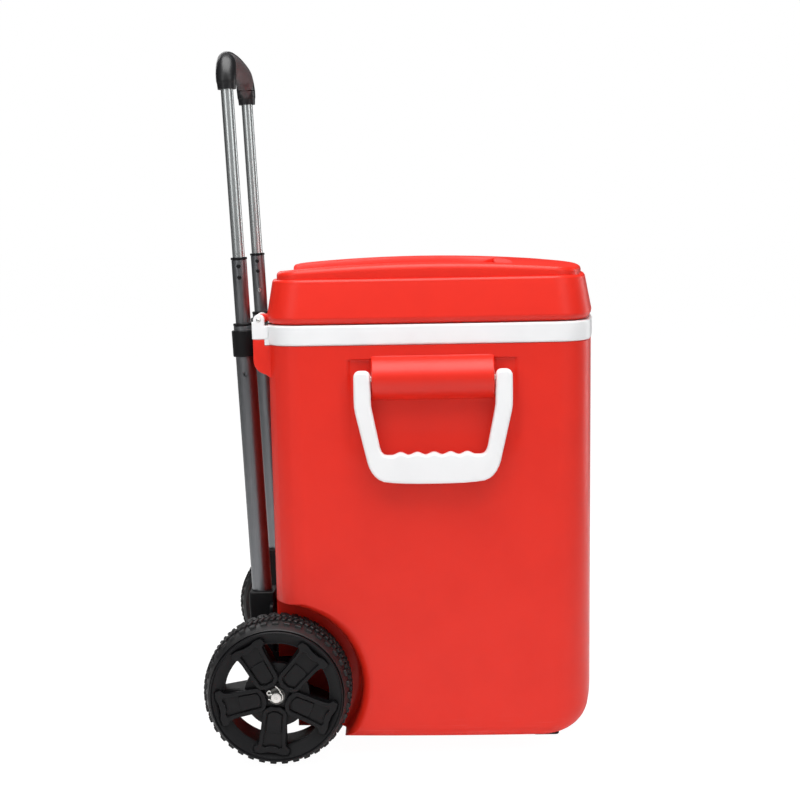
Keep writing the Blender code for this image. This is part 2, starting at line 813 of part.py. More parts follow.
def window(name, spoke_turn):
    """One opening between two spokes, as a cutter along X."""
    half_gap = math.pi / SPOKES
    centre = spoke_turn + half_gap
    inner, outer = WINDOW_RADII
    spoke_inner, spoke_outer = SPOKE_HALF_WIDTHS
    inner_half = half_gap - math.asin(spoke_inner / inner)
    outer_half = half_gap - math.asin(spoke_outer / outer)
    turns = (centre + inner_half, centre, centre - inner_half)
    outline = [(inner * math.cos(turn), inner * math.sin(turn)) for turn in turns]
    steps = 4
    for step in range(steps + 1):
        angle = centre - outer_half + 2 * outer_half * step / steps
        outline.append((outer * math.cos(angle), outer * math.sin(angle)))
    return prism(name, outline, -0.3, 0.3)


def build_wheels(finishes):
    for side, sign in SIDES.items():
        axis = empty(f"wheel_axis_{side}", (0, AXLE_Y, AXLE_Z))
        face = WHEEL_FACE
        back = WHEEL_FACE - WHEEL_WIDTH
        disc_profile = [
            (AXLE_RADIUS + 0.0015, back + 0.004),
            (0.0125, back + 0.004),
            (0.0135, face - 0.020),
            (0.060, face - 0.018),
            (0.0700, face - 0.018),
            (0.0700, back + 0.003),
            (0.0750, back + 0.003),
            (0.0750, face - 0.0093),
            (0.0805, face - 0.0093),
            (0.0812, face - 0.0070),
            (0.0800, face),
            (0.0660, face),
            (0.0645, face - 0.006),
            (0.0200, face - 0.009),
            (0.0125, face - 0.0065),
            (AXLE_RADIUS + 0.0015, face - 0.0065),
        ]
        tyre_profile = [
            (0.0755, back + 0.001),
            (0.0840, back),
            (0.0905, face - 0.055),
            (WHEEL_RADIUS, face - 0.044),
            (WHEEL_RADIUS, face - 0.036),
            (0.0900, face - 0.027),
            (0.0835, face - 0.0096),
            (0.0755, face - 0.0096),
        ]
        place = {"finish": finishes["black"], "parent": axis}
        disc = turned(f"wheel_{side}", [(r, sign * h) for r, h in disc_profile], "X", WHEEL_STEPS, **place)
        for index in range(SPOKES):
            opening = window(f"window_{side}_{index}", SPOKE_TURN + math.tau * index / SPOKES)
            opening.parent = axis
            cut(disc, opening)
        tyre = [(r, sign * h) for r, h in tyre_profile]
        turned(f"tyre_{side}", tyre, "X", WHEEL_STEPS, finish=finishes["tyre"], parent=axis)
        bush_profile = [
            (AXLE_RADIUS + RUNNING, back + 0.0020),
            (0.0110, back + 0.0020),
            (0.0110, back + 0.0037),
            (AXLE_RADIUS + 0.0012, back + 0.0037),
            (AXLE_RADIUS + 0.0012, face - 0.0068),
            (AXLE_RADIUS + RUNNING, face - 0.0068),
        ]
        bush = [(r, sign * h) for r, h in bush_profile]
        turned(f"wheel_bush_{side}", bush, "X", MEDIUM, finish=finishes["nylon"], parent=axis)
        washer_low, washer_high = sorted((sign * (face - 0.0062), sign * (face - 0.0048)))
        tube(
            f"washer_{side}",
            0.0105,
            AXLE_RADIUS + GAP,
            washer_low,
            washer_high,
            "X",
            MEDIUM,
            finish=finishes["steel"],
            location=(0, AXLE_Y, AXLE_Z),
        )
    build_axle(finishes)


def clip_route():
    """A hairpin clip in its own plane: a straight leg through the axle, a loop, and a leg bent over it."""
    points = [(0.0170, 0.0), (0.009, 0.0), (0.0, 0.0), (-0.009, 0.0), (-0.0150, -0.0004)]
    points += arc((-0.0185, 0.0028), 0.0042, -50, -300, 8)
    points += [(-0.0130, 0.0062), (-0.0095, 0.0048)]
    points += arc((0.0, 0.0), AXLE_RADIUS + CLIP_WIRE + 0.0003, 145, 35, 6)
    points += [(0.0085, 0.0040), (0.0125, 0.0052), (0.0160, 0.0085)]
    return points


def build_axle(finishes):
    axle = rod("axle", AXLE_RADIUS, -AXLE_END, AXLE_END, "X", MEDIUM, finish=finishes["steel"])
    axle.location = (0, AXLE_Y, AXLE_Z)
    round_edges(axle, 0.001)
    for side, sign in SIDES.items():
        hole = rod(f"clip_hole_{side}", CLIP_WIRE + GAP, -0.02, 0.02, "Y", 12)
        hole.location = (sign * CLIP_X, AXLE_Y, AXLE_Z)
        hole.rotation_euler = (-CLIP_TURN, 0, 0)
        cut(axle, hole)
        curve = bpy.data.curves.new(f"r_clip_{side}", "CURVE")
        curve.dimensions = "3D"
        curve.bevel_depth = CLIP_WIRE
        curve.bevel_resolution = 1
        curve.use_fill_caps = True
        spline = curve.splines.new("POLY")
        route = clip_route()
        spline.points.add(len(route) - 1)
        for point, (a, b) in zip(spline.points, route):
            point.co = (0, -a, b, 1)
        curve.materials.append(finishes["steel"])
        clip = bpy.data.objects.new(f"r_clip_{side}", curve)
        clip.location = (sign * CLIP_X, AXLE_Y, AXLE_Z)
        clip.rotation_euler = (-CLIP_TURN, 0, 0)
        bpy.context.scene.collection.objects.link(clip)


# ---------------------------------------------------------------- pull handle


def handle_piece(axis, sign):
    """Where a piece on one of the two tubes goes, in the pull handle's frame."""
    return {"parent": axis, "location": (sign * TUBE_X, 0, 0)}


def side_hole(name, axis, sign, facing, height):
    """A cutter through one wall of a tube, towards -X or +X."""
    low, high = sorted((0.0, facing * 0.03))
    hole = rod(name, LOCK_HOLE_RADIUS, low, high, "X", SMALL)
    hole.parent = axis
    hole.location = (sign * TUBE_X, 0, height)
    return hole


def build_outer_stage(finishes, axis, side, sign):
    where = handle_piece(axis, sign)
    low, high = OUTER_ENDS
    gunmetal = finishes["gunmetal"]
    outer = tube(f"outer_tube_{side}", OUTER_RADIUS, OUTER_BORE, low, high, finish=gunmetal, **where)
    cut(outer, side_hole(f"outer_lock_{side}", axis, sign, sign, OUTER_LOCK_HOLE))
    ring_low = high + GAP
    profile = [
        (MIDDLE_RADIUS + RUNNING, high - 0.020),
        (OUTER_BORE - RUNNING, high - 0.020),
        (OUTER_BORE - RUNNING, ring_low),
        (OUTER_RADIUS + 0.0004, ring_low),
        (OUTER_RADIUS + 0.0004, ring_low + RING_HEIGHT),
        (MIDDLE_RADIUS + RUNNING, ring_low + RING_HEIGHT),
    ]
    turned(f"outer_collar_{side}", profile, steps=FINE, finish=finishes["black"], **where)


def build_middle_stage(finishes, axis, side, sign):
    where = handle_piece(axis, sign)
    low, high = MIDDLE_ENDS
    middle = tube(
        f"middle_tube_{side}", MIDDLE_RADIUS, MIDDLE_BORE, low, high, finish=finishes["gunmetal"], **where
    )
    cut(middle, side_hole(f"middle_lock_{side}", axis, sign, -sign, MIDDLE_LOCK_HOLE))
    ring_low = high + GAP
    top = ring_low + RING_HEIGHT
    profile = [
        (INNER_RADIUS + RUNNING, high - 0.032),
        (MIDDLE_BORE - RUNNING, high - 0.032),
        (MIDDLE_BORE - RUNNING, ring_low),
        (MIDDLE_RADIUS + 0.0008, ring_low),
        (MIDDLE_RADIUS + 0.0008, top),
        (INNER_RADIUS + RUNNING, top),
    ]
    turned(f"middle_collar_{side}", profile, steps=FINE, finish=finishes["black"], **where)
    glide = [
        (0, low - 0.012),
        (OUTER_BORE - GAP, low - 0.012),
        (OUTER_BORE - GAP, low - GAP),
        (MIDDLE_BORE - GAP, low - GAP),
        (MIDDLE_BORE - GAP, low + 0.012),
        (0, low + 0.012),
    ]
    turned(f"middle_glide_{side}", glide, steps=MEDIUM, finish=finishes["nylon"], **where)
    for index, below in enumerate(RIVETS_BELOW_RING):
        build_rivet(finishes, axis, side, sign, index, top - below, middle)


def build_rivet(finishes, axis, side, sign, index, height, middle):
    """A domed blind rivet in the tube's wall, on its outward face."""
    seat = MIDDLE_BORE - RUNNING + GAP
    hole = rod(f"rivet_hole_{side}_{index}", 0.0017, 0.0, sign * 0.03, "X", 12)
    hole.parent = axis
    hole.location = (sign * TUBE_X, 0, height)
    cut(middle, hole)
    crown = MIDDLE_RADIUS + 0.0012
    head = MIDDLE_RADIUS + 0.00025
    profile = [(0, seat), (0.0015, seat), (0.0015, head), (0.0027, head)]
    profile += [(0.0024, MIDDLE_RADIUS + 0.0008), (0.0014, crown), (0, crown)]
    turned(
        f"rivet_{side}_{index + 1}",
        [(r, sign * h) for r, h in profile],
        "X",
        SMALL,
        finish=finishes["black"],
        parent=axis,
        location=(sign * TUBE_X, 0, height),
    )


def build_inner_stage(finishes, axis, side, sign):
    where = handle_piece(axis, sign)
    low, high = INNER_ENDS
    tube(f"inner_tube_{side}", INNER_RADIUS, INNER_BORE, low, high, finish=finishes["bright"], **where)
    glide = [
        (0, low - 0.010),
        (MIDDLE_BORE - GAP, low - 0.010),
        (MIDDLE_BORE - GAP, low - GAP),
        (INNER_BORE - GAP, low - GAP),
        (INNER_BORE - GAP, low + 0.012),
        (0, low + 0.012),
    ]
    turned(f"inner_glide_{side}", glide, steps=MEDIUM, finish=finishes["nylon"], **where)


def grip_route():
    """The grip's centre line as (x, height), up one leg, across and down the other."""
    corner = TUBE_X - GRIP_BEND
    left = [(-TUBE_X, GRIP_BOTTOM)]
    left += arc((-corner, GRIP_BAR - GRIP_BEND), GRIP_BEND, 180, 90, 6)
    return left + [(-x, z) for x, z in reversed(left)]


def build_grip(finishes, axis):
    shape = bmesh.new()
    route = grip_route()
    sections = []
    for index, (x, z) in enumerate(route):
        before = Vector(route[max(index - 1, 0)])
        after = Vector(route[min(index + 1, len(route) - 1)])
        along = (after - before).normalized()
        normal = Vector((-along.y, along.x))
        points = []
        for step in range(GRIP_STEPS):
            angle = math.tau * step / GRIP_STEPS
            out, deep = GRIP_RADIUS * math.cos(angle), GRIP_RADIUS * math.sin(angle)
            points.append(shape.verts.new((x + normal.x * out, deep, z + normal.y * out)))
        sections.append(points)
    for lower, upper in zip(sections, sections[1:]):
        for i in range(GRIP_STEPS):
            j = (i + 1) % GRIP_STEPS
            shape.faces.new((lower[i], lower[j], upper[j], upper[i]))
    shape.faces.new(sections[0])
    shape.faces.new(sections[-1])
    grip = finish_mesh("handle_grip", shape, finish=finishes["black"], parent=axis)
    for side, sign in SIDES.items():
        socket = rod(f"grip_socket_{side}", INNER_RADIUS + RUNNING, 0.80, INNER_ENDS[1] + GAP, steps=FINE)
        socket.parent = axis
        socket.location = (sign * TUBE_X, 0, 0)
        cut(grip, socket)
    top = GRIP_BAR + GRIP_RADIUS
    half_x, half_y = 0.018, 0.0062
    well_floor = top - 0.010
    low = (-half_x - GAP, -half_y - GAP, well_floor)
    well = box("button_well", low, (half_x + GAP, half_y + GAP, top + 0.01))
    well.parent = axis
    cut(grip, well)
    rest = well_floor + BUTTON_TRAVEL + 0.0005
    button = box(
        "release_button",
        (-half_x, -half_y, 0.0),
        (half_x, half_y, top + 0.0004 - rest),
        finish=finishes["black"],
        parent=axis,
        location=(0, 0, rest),
    )
    round_edges(button, 0.0012, 1)


def build_upper_bracket(finishes, axis):
    low, high = BRACKET_ENDS
    skin = 0.001
    beam = box(
        "upper_bracket",
        (-TUBE_X + 0.003, BRACKET_FRONT, low + skin),
        (TUBE_X - 0.003, BRACKET_REAR, high - skin),
        finish=finishes["black"],
        parent=axis,
    )
    collars = [
        tube_cutter(axis, f"collar_{side}", BRACKET_COLLAR, BRACKET_ENDS, sign)
        for side, sign in SIDES.items()
    ]
    reach = (low - 0.01, high + 0.01)
    bores = [
        tube_cutter(axis, f"bore_{side}", OUTER_RADIUS + GAP, reach, sign)
        for side, sign in SIDES.items()
    ]
    join(beam, *collars)
    for index, (left, right) in enumerate(BRACKET_POCKETS):
        pocket = box(
            f"bracket_pocket_{index}",
            (left, BRACKET_FRONT + BRACKET_WEB, low + BRACKET_RIB),
            (right, 0.03, high - BRACKET_RIB),
        )
        pocket.parent = axis
        cut(beam, pocket)
    cut(beam, *bores)
    height = bracket_screw_height()
    places = [(-BRACKET_SCREW_X, height), (BRACKET_SCREW_X, height)]
    cut(beam, *screw_holes("bracket_hole", places, 0.15, 0.25))
    for modifier in beam.modifiers:
        modifier.solver = "MANIFOLD"
    seat = HANDLE_BASE_Y + math.tan(HANDLE_LEAN) * height + BRACKET_REAR + 0.0009
    for side, (x, z) in zip(SIDES, places):
        screw(f"bracket_screw_{side}", finishes, (x, seat, z), seat - PAD_REAR + 0.0045)


def tube_cutter(axis, name, radius, ends, sign):
    """A round shape along one of the two tubes."""
    shape = rod(name, radius, ends[0], ends[1], steps=FINE)
    shape.parent = axis
    shape.location = (sign * TUBE_X, 0, 0)
    return shape


def screw(name, finishes, seat, length):
    """A pan-head screw whose head sits at the seat and whose shank runs towards -Y."""
    top = SCREW_HEAD_HEIGHT
    profile = [(0, top), (SCREW_HEAD * 0.7, top), (SCREW_HEAD, top * 0.4)]
    profile += [(SCREW_HEAD, 0), (SCREW_SHANK, 0), (SCREW_SHANK, -length), (0, -length)]
    return turned(name, profile, "Y", SMALL, finish=finishes["steel"], location=seat)


def build_axle_brackets(finishes, axis):
    for side, sign in SIDES.items():
        x = sign * TUBE_X
        outline = [
            (0.1400, 0.0775),
            (0.1760, 0.0775),
            (0.1955, 0.0950),
            (0.1990, FOOT_TOP),
            (FLANGE_FRONT, FOOT_TOP),
            (FLANGE_FRONT, TUNNEL_TOP - 0.0015),
            (0.1400, TUNNEL_TOP - 0.0015),
        ]
        bracket = prism(
            f"axle_bracket_{side}", outline, x - FOOT_HALF, x + FOOT_HALF, finish=finishes["black"]
        )
        flange = box(
            f"flange_{side}",
            (x - FLANGE_HALF, FLANGE_FRONT, FLANGE_ENDS[0]),
            (x + FLANGE_HALF, FLANGE_REAR, FLANGE_ENDS[1]),
        )
        join(bracket, flange)
        socket = rod(f"foot_socket_{side}", OUTER_RADIUS + GAP, OUTER_ENDS[0] - GAP, 0.25, steps=FINE)
        socket.parent = axis
        socket.location = (x, 0, 0)
        bore = rod(f"axle_bore_{side}", AXLE_RADIUS + GAP, -0.3, 0.3, "X", MEDIUM)
        bore.location = (0, AXLE_Y, AXLE_Z)
        cut(bracket, socket, bore)
        places = flange_screw_places(sign)
        cut(bracket, *screw_holes(f"bracket_flange_hole_{side}", places, 0.14, 0.25))
        for index, (place_x, place_z) in enumerate(places):
            seat = (place_x, FLANGE_REAR + GAP, place_z)
            screw(f"axle_bracket_screw_{side}_{index + 1}", finishes, seat, 0.0074)


def build_pull_handle(finishes):
    axis = empty("pull_handle_axis", (0, HANDLE_BASE_Y, 0), (-HANDLE_LEAN, 0, 0))
    for side, sign in SIDES.items():
        build_outer_stage(finishes, axis, side, sign)
        build_middle_stage(finishes, axis, side, sign)
        build_inner_stage(finishes, axis, side, sign)
    build_grip(finishes, axis)
    build_upper_bracket(finishes, axis)
    build_axle_brackets(finishes, axis)


def main():
    clear_scene()
    finishes = {
        "red": material("red plastic", (0.62, 0.035, 0.022), 0.42),
        "white": material("white plastic", (0.86, 0.87, 0.89), 0.38),
        "black": material("black plastic", (0.020, 0.020, 0.022), 0.45),
        "tyre": material("tread", (0.016, 0.016, 0.017), 0.60),
        "rubber": material("foot rubber", (0.030, 0.030, 0.030), 0.80),
        "nylon": material("nylon", (0.45, 0.45, 0.43), 0.50),
        "foam": material("insulation", (0.80, 0.74, 0.55), 0.90),
        "gunmetal": material("anodised tube", (0.20, 0.21, 0.22), 0.30, 1.0),
        "bright": material("bright tube", (0.62, 0.65, 0.65), 0.25, 1.0),
        "steel": material("zinc steel", (0.60, 0.60, 0.58), 0.30, 1.0),
    }
    build_body(finishes)
    build_lid(finishes, empty("lid_hinge", (0, HINGE_Y, HINGE_Z)))
    build_swing_handles(finishes)
    build_wheels(finishes)
    build_pull_handle(finishes)


main()
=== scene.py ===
"""Looks of a tall hard cooler on two wheels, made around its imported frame.

Metres, +Z up, front towards -Y, wheels and pull handle at +Y. Left is -X and right is +X. Each class
models one sub-assembly on the bench, dresses it in its finishes and hands it to the frame.
"""

import json
import logging
import math
from collections.abc import Callable, Iterable, Iterator, Sequence
from contextlib import contextmanager
from dataclasses import dataclass
from enum import Enum

import bmesh
import bpy
from mathutils import Matrix, Vector


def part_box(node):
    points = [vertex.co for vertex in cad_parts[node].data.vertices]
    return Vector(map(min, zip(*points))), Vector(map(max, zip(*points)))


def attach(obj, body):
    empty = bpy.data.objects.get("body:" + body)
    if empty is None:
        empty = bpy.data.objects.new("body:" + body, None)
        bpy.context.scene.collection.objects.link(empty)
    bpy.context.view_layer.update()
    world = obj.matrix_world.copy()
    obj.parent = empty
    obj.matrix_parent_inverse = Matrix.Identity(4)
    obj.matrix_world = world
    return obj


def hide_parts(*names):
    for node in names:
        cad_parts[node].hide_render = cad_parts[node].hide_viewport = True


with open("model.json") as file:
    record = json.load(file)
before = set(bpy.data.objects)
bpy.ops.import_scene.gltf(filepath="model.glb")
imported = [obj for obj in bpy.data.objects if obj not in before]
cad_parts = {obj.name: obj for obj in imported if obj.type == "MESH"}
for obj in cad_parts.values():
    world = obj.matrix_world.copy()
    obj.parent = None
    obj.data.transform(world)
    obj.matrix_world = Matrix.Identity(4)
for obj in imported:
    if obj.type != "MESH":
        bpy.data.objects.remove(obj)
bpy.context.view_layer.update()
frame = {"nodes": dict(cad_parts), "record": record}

LOG = logging.getLogger("cooler")
Colour = tuple[float, float, float]
Flat = tuple[float, float]
EdgeTest = Callable[[bmesh.types.BMEdge], bool]

# Places (y, z) and sizes that more than one sub-assembly uses.
HINGE: Flat = (0.172, 0.546)
HINGE_X = 0.165
PIN_HOLE = 0.0028
AXLE: Flat = (0.158, 0.0923)
AXLE_HOLE = 0.0066
SCREW_HOLE = 0.0023
DRILL_REACH = 0.2
SWING_Y = -0.038


# ---------------------------------------------------------------- named choices


class Axis(Enum):
    """A direction of the frame, with the matrix that stands a flat outline across it."""

    X = Matrix(((0, 0, 1), (1, 0, 0), (0, 1, 0)))
    Y = Matrix(((1, 0, 0), (0, 0, -1), (0, 1, 0)))
    Z = Matrix.Identity(3)

    @property
    def along(self) -> Vector:
        """The unit vector of this direction."""
        return Vector([1.0 if self.name == letter else 0.0 for letter in "XYZ"])


class Side(Enum):
    """The two sides of the cooler, with the sign of X on each."""

    LEFT = -1
    RIGHT = 1

    @property
    def label(self) -> str:
        """The side's name as the frame's nodes spell it."""
        return self.name.lower()


class Slot(Enum):
    """The record's material slots."""

    RED = "red_plastic"
    WHITE = "white_plastic"
    FOAM = "insulation_foam"
    GUNMETAL = "gunmetal_tube"
    BRIGHT = "bright_tube"
    BLACK = "black_plastic"
    TREAD = "black_tread"
    NYLON = "nylon"
    FOOT = "foot_rubber"
    STEEL = "zinc_steel"


# ---------------------------------------------------------------- small sums


def spread(low: float, high: float, count: int) -> list[float]:
    """Evenly spaced places from low to high, both included."""
    return [low + (high - low) * step / (count - 1) for step in range(count)]


def ease(share: float) -> float:
    """A share from 0 to 1 with its ends smoothed, held at 0 and 1 outside them."""
    share = min(max(share, 0.0), 1.0)
    return share * share * (3 - 2 * share)


def soft_min(a: float, b: float, blend: float) -> float:
    """The lesser of two lengths, rounded over where they come within blend of each other."""
    share = min(max(0.5 + 0.5 * (b - a) / blend, 0.0), 1.0)
    return b + (a - b) * share - blend * share * (1 - share)


def soft_max(a: float, b: float, blend: float) -> float:
    """The greater of two lengths, filleted where they come within blend of each other."""
    return -soft_min(-a, -b, blend)


def arc(centre: Flat, radius: float, start: float, end: float, steps: int) -> list[Flat]:
    """Points of an arc in its own plane, from start to end in degrees."""
    turns = [math.radians(angle) for angle in spread(start, end, steps + 1)]
    return [(centre[0] + radius * math.cos(t), centre[1] + radius * math.sin(t)) for t in turns]


def quarter(height: float, radius: float) -> float:
    """How far in a quarter-round edge lies at a height above its lowest line."""
    if height >= radius:
        return 0.0
    return radius - math.sqrt(radius * radius - (radius - height) ** 2)


def runs_along(letter: str, least: float) -> EdgeTest:
    """A test for edges that run along an axis, x, y or z, for more than a length."""
    return lambda edge: abs(getattr(edge.verts[0].co, letter) - getattr(edge.verts[1].co, letter)) > least


def lies_at(height: float, slack: float = 1e-6) -> EdgeTest:
    """A test for edges that lie level at a height."""
    return lambda edge: all(abs(vertex.co.z - height) < slack for vertex in edge.verts)


# ---------------------------------------------------------------- bench


class Piece:
    """One mesh on the bench, and the operators that shape it."""

    def __init__(self, obj: bpy.types.Object) -> None:
        """Takes an object on to the bench.

        Args:
            obj: the mesh object to shape.
        """
        self.obj = obj

    @staticmethod
    def clear_bench() -> None:
        """Deselects everything, so that an operator acts on what comes next alone."""
        bpy.ops.object.select_all(action="DESELECT")

    @classmethod
    def taken(cls) -> "Piece":
        """The object that an operator has just added, with its place put into its mesh."""
        bpy.ops.object.transform_apply(location=True, rotation=True, scale=True)
        return cls(bpy.context.object)

    @classmethod
    def block(cls, low: Sequence[float], high: Sequence[float]) -> "Piece":
        """A cuboid between two corners."""
        cls.clear_bench()
        low, high = Vector(low), Vector(high)
        bpy.ops.mesh.primitive_cube_add(size=1, location=(low + high) / 2, scale=high - low)
        return cls.taken()

    @classmethod
    def turned(
        cls, profile: Sequence[Flat], axis: Axis, centre: Sequence[float], steps: int = 64
    ) -> "Piece":
        """A profile spun once round an axis.

        Args:
            profile: (radius, distance along the axis) points. One that starts and ends at radius 0
                makes a solid, and any other is closed into a ring.
            axis: the direction of the axis.
            centre: a point on the axis, from which the distances count.
            steps: how many steps the turn has.

        Returns:
            The turned piece.
        """
        cls.clear_bench()
        out = Axis.X.along if axis is not Axis.X else Axis.Y.along
        centre = Vector(centre)
        points = [centre + out * radius + axis.along * far for radius, far in profile]
        count = len(points)
        edges = [(i, (i + 1) % count) for i in range(count)]
        if profile[0][0] == 0 and profile[-1][0] == 0:
            edges.pop()
        mesh = bpy.data.meshes.new("profile")
        mesh.from_pydata(points, edges, [])
        obj = bpy.data.objects.new("profile", mesh)
        bpy.context.scene.collection.objects.link(obj)
        piece = cls(obj)
        with piece.editing("VERT"):
            bpy.ops.mesh.spin(steps=steps, angle=math.tau, center=centre, axis=axis.along)
        return piece.cleaned()

    @classmethod
    def rod(
        cls, radius: float, low: float, high: float, axis: Axis, centre: Sequence[float], steps: int = 24
    ) -> "Piece":
        """A plain round rod from low to high along an axis, which serves as a drill."""
        return cls.turned([(0.0, low), (radius, low), (radius, high), (0.0, high)], axis, centre, steps)

    @classmethod
    def plate(
        cls, outlines: Sequence[Sequence[Flat]], low: float, high: float, axis: Axis, edge: float = 0.0
    ) -> "Piece":
        """Flat outlines given a thickness, with rounded rims.

        Args:
            outlines: closed outlines in the plane across the axis. One inside another is a hole.
            low: where the plate starts along the axis.
            high: where it ends.
            axis: the direction of its thickness. The outline's plane is YZ for X, XZ for Y, XY for Z.
            edge: the radius of the rims.

        Returns:
            The plate.
        """
        cls.clear_bench()
        curve = bpy.data.curves.new("plate", "CURVE")
        curve.dimensions = "2D"
        curve.fill_mode = "BOTH"
        curve.extrude = abs(high - low) / 2 - edge
        curve.bevel_depth = edge
        curve.bevel_resolution = 3
        curve.offset = -edge
        for outline in outlines:
            spline = curve.splines.new("POLY")
            spline.points.add(len(outline) - 1)
            spline.use_cyclic_u = True
            for point, (a, b) in zip(spline.points, outline):
                point.co = (a, b, 0, 1)
        obj = bpy.data.objects.new("plate", curve)
        obj.matrix_world = Matrix.Translation(axis.along * (low + high) / 2) @ axis.value.to_4x4()
        return cls.from_curve(obj)

    @classmethod
    def swept(
        cls, route: Sequence[Sequence[float]], radii: Sequence[float], roundness: int
    ) -> "Piece":
        """A round bar along a smooth route.

        Args:
            route: the points that the bar's middle passes through.
            radii: the bar's radius at each of them.
            roundness: how finely its section is divided.

        Returns:
            The bar.
        """
        cls.clear_bench()
        curve = bpy.data.curves.new("bar", "CURVE")
        curve.dimensions = "3D"
        curve.bevel_depth = 1.0
        curve.bevel_resolution = roundness
        curve.resolution_u = 8
        curve.use_fill_caps = True
        spline = curve.splines.new("BEZIER")
        spline.bezier_points.add(len(route) - 1)
        for knot, place, radius in zip(spline.bezier_points, route, radii):
            knot.co = place
            knot.radius = radius
            knot.handle_left_type = knot.handle_right_type = "AUTO"
        return cls.from_curve(bpy.data.objects.new("bar", curve))

    @classmethod
    def from_curve(cls, obj: bpy.types.Object) -> "Piece":
        """Makes a curve object a closed mesh, with its place put into the mesh."""
        bpy.context.scene.collection.objects.link(obj)
        piece = cls(obj)
        piece.pick_up()
        bpy.ops.object.convert(target="MESH")
        return cls.taken().cleaned()

    def pick_up(self) -> None:
        """Makes this the one selected and active object."""
        self.clear_bench()
        self.obj.select_set(True)
        bpy.context.view_layer.objects.active = self.obj

    @contextmanager
    def editing(self, kind: str, chosen: EdgeTest | None = None) -> Iterator[None]:
        """Edit mode, with the elements that pass a test selected.

        Args:
            kind: VERT, EDGE or FACE.
            chosen: the test that an element passes to be selected, or None for all.
        """
        self.pick_up()
        bpy.ops.object.mode_set(mode="EDIT")
        bpy.ops.mesh.select_mode(type=kind)
        bpy.ops.mesh.select_all(action="DESELECT" if chosen else "SELECT")
        if chosen:
            mesh = bmesh.from_edit_mesh(self.obj.data)
            elements = {"VERT": mesh.verts, "EDGE": mesh.edges, "FACE": mesh.faces}[kind]
            for element in [one for one in elements if chosen(one)]:
                element.select_set(True)
            bmesh.update_edit_mesh(self.obj.data)
        yield
        bpy.ops.object.mode_set(mode="OBJECT")

    def bevelled(self, chosen: EdgeTest, width: float, segments: int) -> "Piece":
        """Rounds the edges that pass a test."""
        with self.editing("EDGE", chosen):
            bpy.ops.mesh.bevel(offset=width, segments=segments, profile=0.5, affect="EDGES")
        return self

    def scored(self, axis: Axis, places: Iterable[float]) -> "Piece":
        """Cuts new edge lines all round the piece, without opening it."""
        for place in places:
            with self.editing("FACE"):
                bpy.ops.mesh.bisect(plane_co=axis.along * place, plane_no=axis.along)
        return self

    def reshaped(self, formula: Callable[[Vector], Vector]) -> "Piece":
        """Moves every vertex to where a formula puts it."""
        for vertex in self.obj.data.vertices:
            vertex.co = formula(vertex.co.copy())
        return self

    def placed(self, matrix: Matrix) -> "Piece":
        """Moves the whole mesh by a matrix, and keeps its faces outward if the matrix mirrors it."""
        self.obj.data.transform(matrix)
        if matrix.determinant() < 0:
            self.obj.data.flip_normals()
        return self

    def modified(self, kind: str, **settings: object) -> "Piece":
        """Adds a modifier with these settings and applies it."""
        self.pick_up()
        modifier = self.obj.modifiers.new(kind.lower(), kind)
        for name, value in settings.items():
            setattr(modifier, name, value)
        bpy.ops.object.modifier_apply(modifier=modifier.name)
        return self

    def combined(self, operation: str, tools: Iterable["Piece"]) -> "Piece":
        """Joins tools to the piece or cuts them from it, and uses them up."""
        for tool in tools:
            self.modified("BOOLEAN", operation=operation, object=tool.obj, solver="EXACT")
            tool.scrapped()
        return self

    def joined(self, *tools: "Piece") -> "Piece":
        """Welds other pieces on."""
        return self.combined("UNION", tools)

    def cut(self, *tools: "Piece") -> "Piece":
        """Cuts other pieces out."""
        return self.combined("DIFFERENCE", tools)

    def gathered(self, others: Sequence["Piece"]) -> "Piece":
        """Puts other pieces that don't touch each other into this piece's mesh."""
        self.pick_up()
        for other in others:
            other.obj.select_set(True)
        bpy.ops.object.join()
        return self

    def cleaned(self) -> "Piece":
        """Merges doubled points and turns every face outward."""
        with self.editing("VERT"):
            bpy.ops.mesh.remove_doubles(threshold=1e-6)
            bpy.ops.mesh.normals_make_consistent(inside=False)
        return self

    def copied(self, matrix: Matrix | None = None) -> "Piece":
        """A copy with its own mesh, moved by a matrix."""
        obj = bpy.data.objects.new(self.obj.name, self.obj.data.copy())
        bpy.context.scene.collection.objects.link(obj)
        piece = Piece(obj)
        return piece.placed(matrix) if matrix else piece

    def scrapped(self) -> None:
        """Takes a used tool off the bench."""
        mesh = self.obj.data
        bpy.data.objects.remove(self.obj)
        bpy.data.meshes.remove(mesh)

    def handed_over(
        self,
        name: str,
        body: str,
        slot: Slot,
        node: str,
        sharp: float = 32,
        finish: bpy.types.Material | None = None,
    ) -> None:
        """Names, smooths and dresses the piece, and gives it to the frame.

        Args:
            name: the finished piece's name.
            body: the body that it rides on.
            slot: the record's slot of its material.
            node: the CAD node that it stands for.
            sharp: the angle in degrees past which an edge stays crisp.
            finish: its material, where that isn't the usual one of its slot.
        """
        self.pick_up()
        self.obj.name = name
        self.obj.data.name = name
        bpy.ops.object.shade_smooth_by_angle(angle=math.radians(sharp))
        self.modified("WEIGHTED_NORMAL", keep_sharp=True)
        self.obj.data.materials.clear()
        self.obj.data.materials.append(finish or MATERIALS[slot])
        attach(self.obj, body)
        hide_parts(node)
        LOG.info("%s: %d faces on %s", name, len(self.obj.data.polygons), body)


# ---------------------------------------------------------------- shader maths


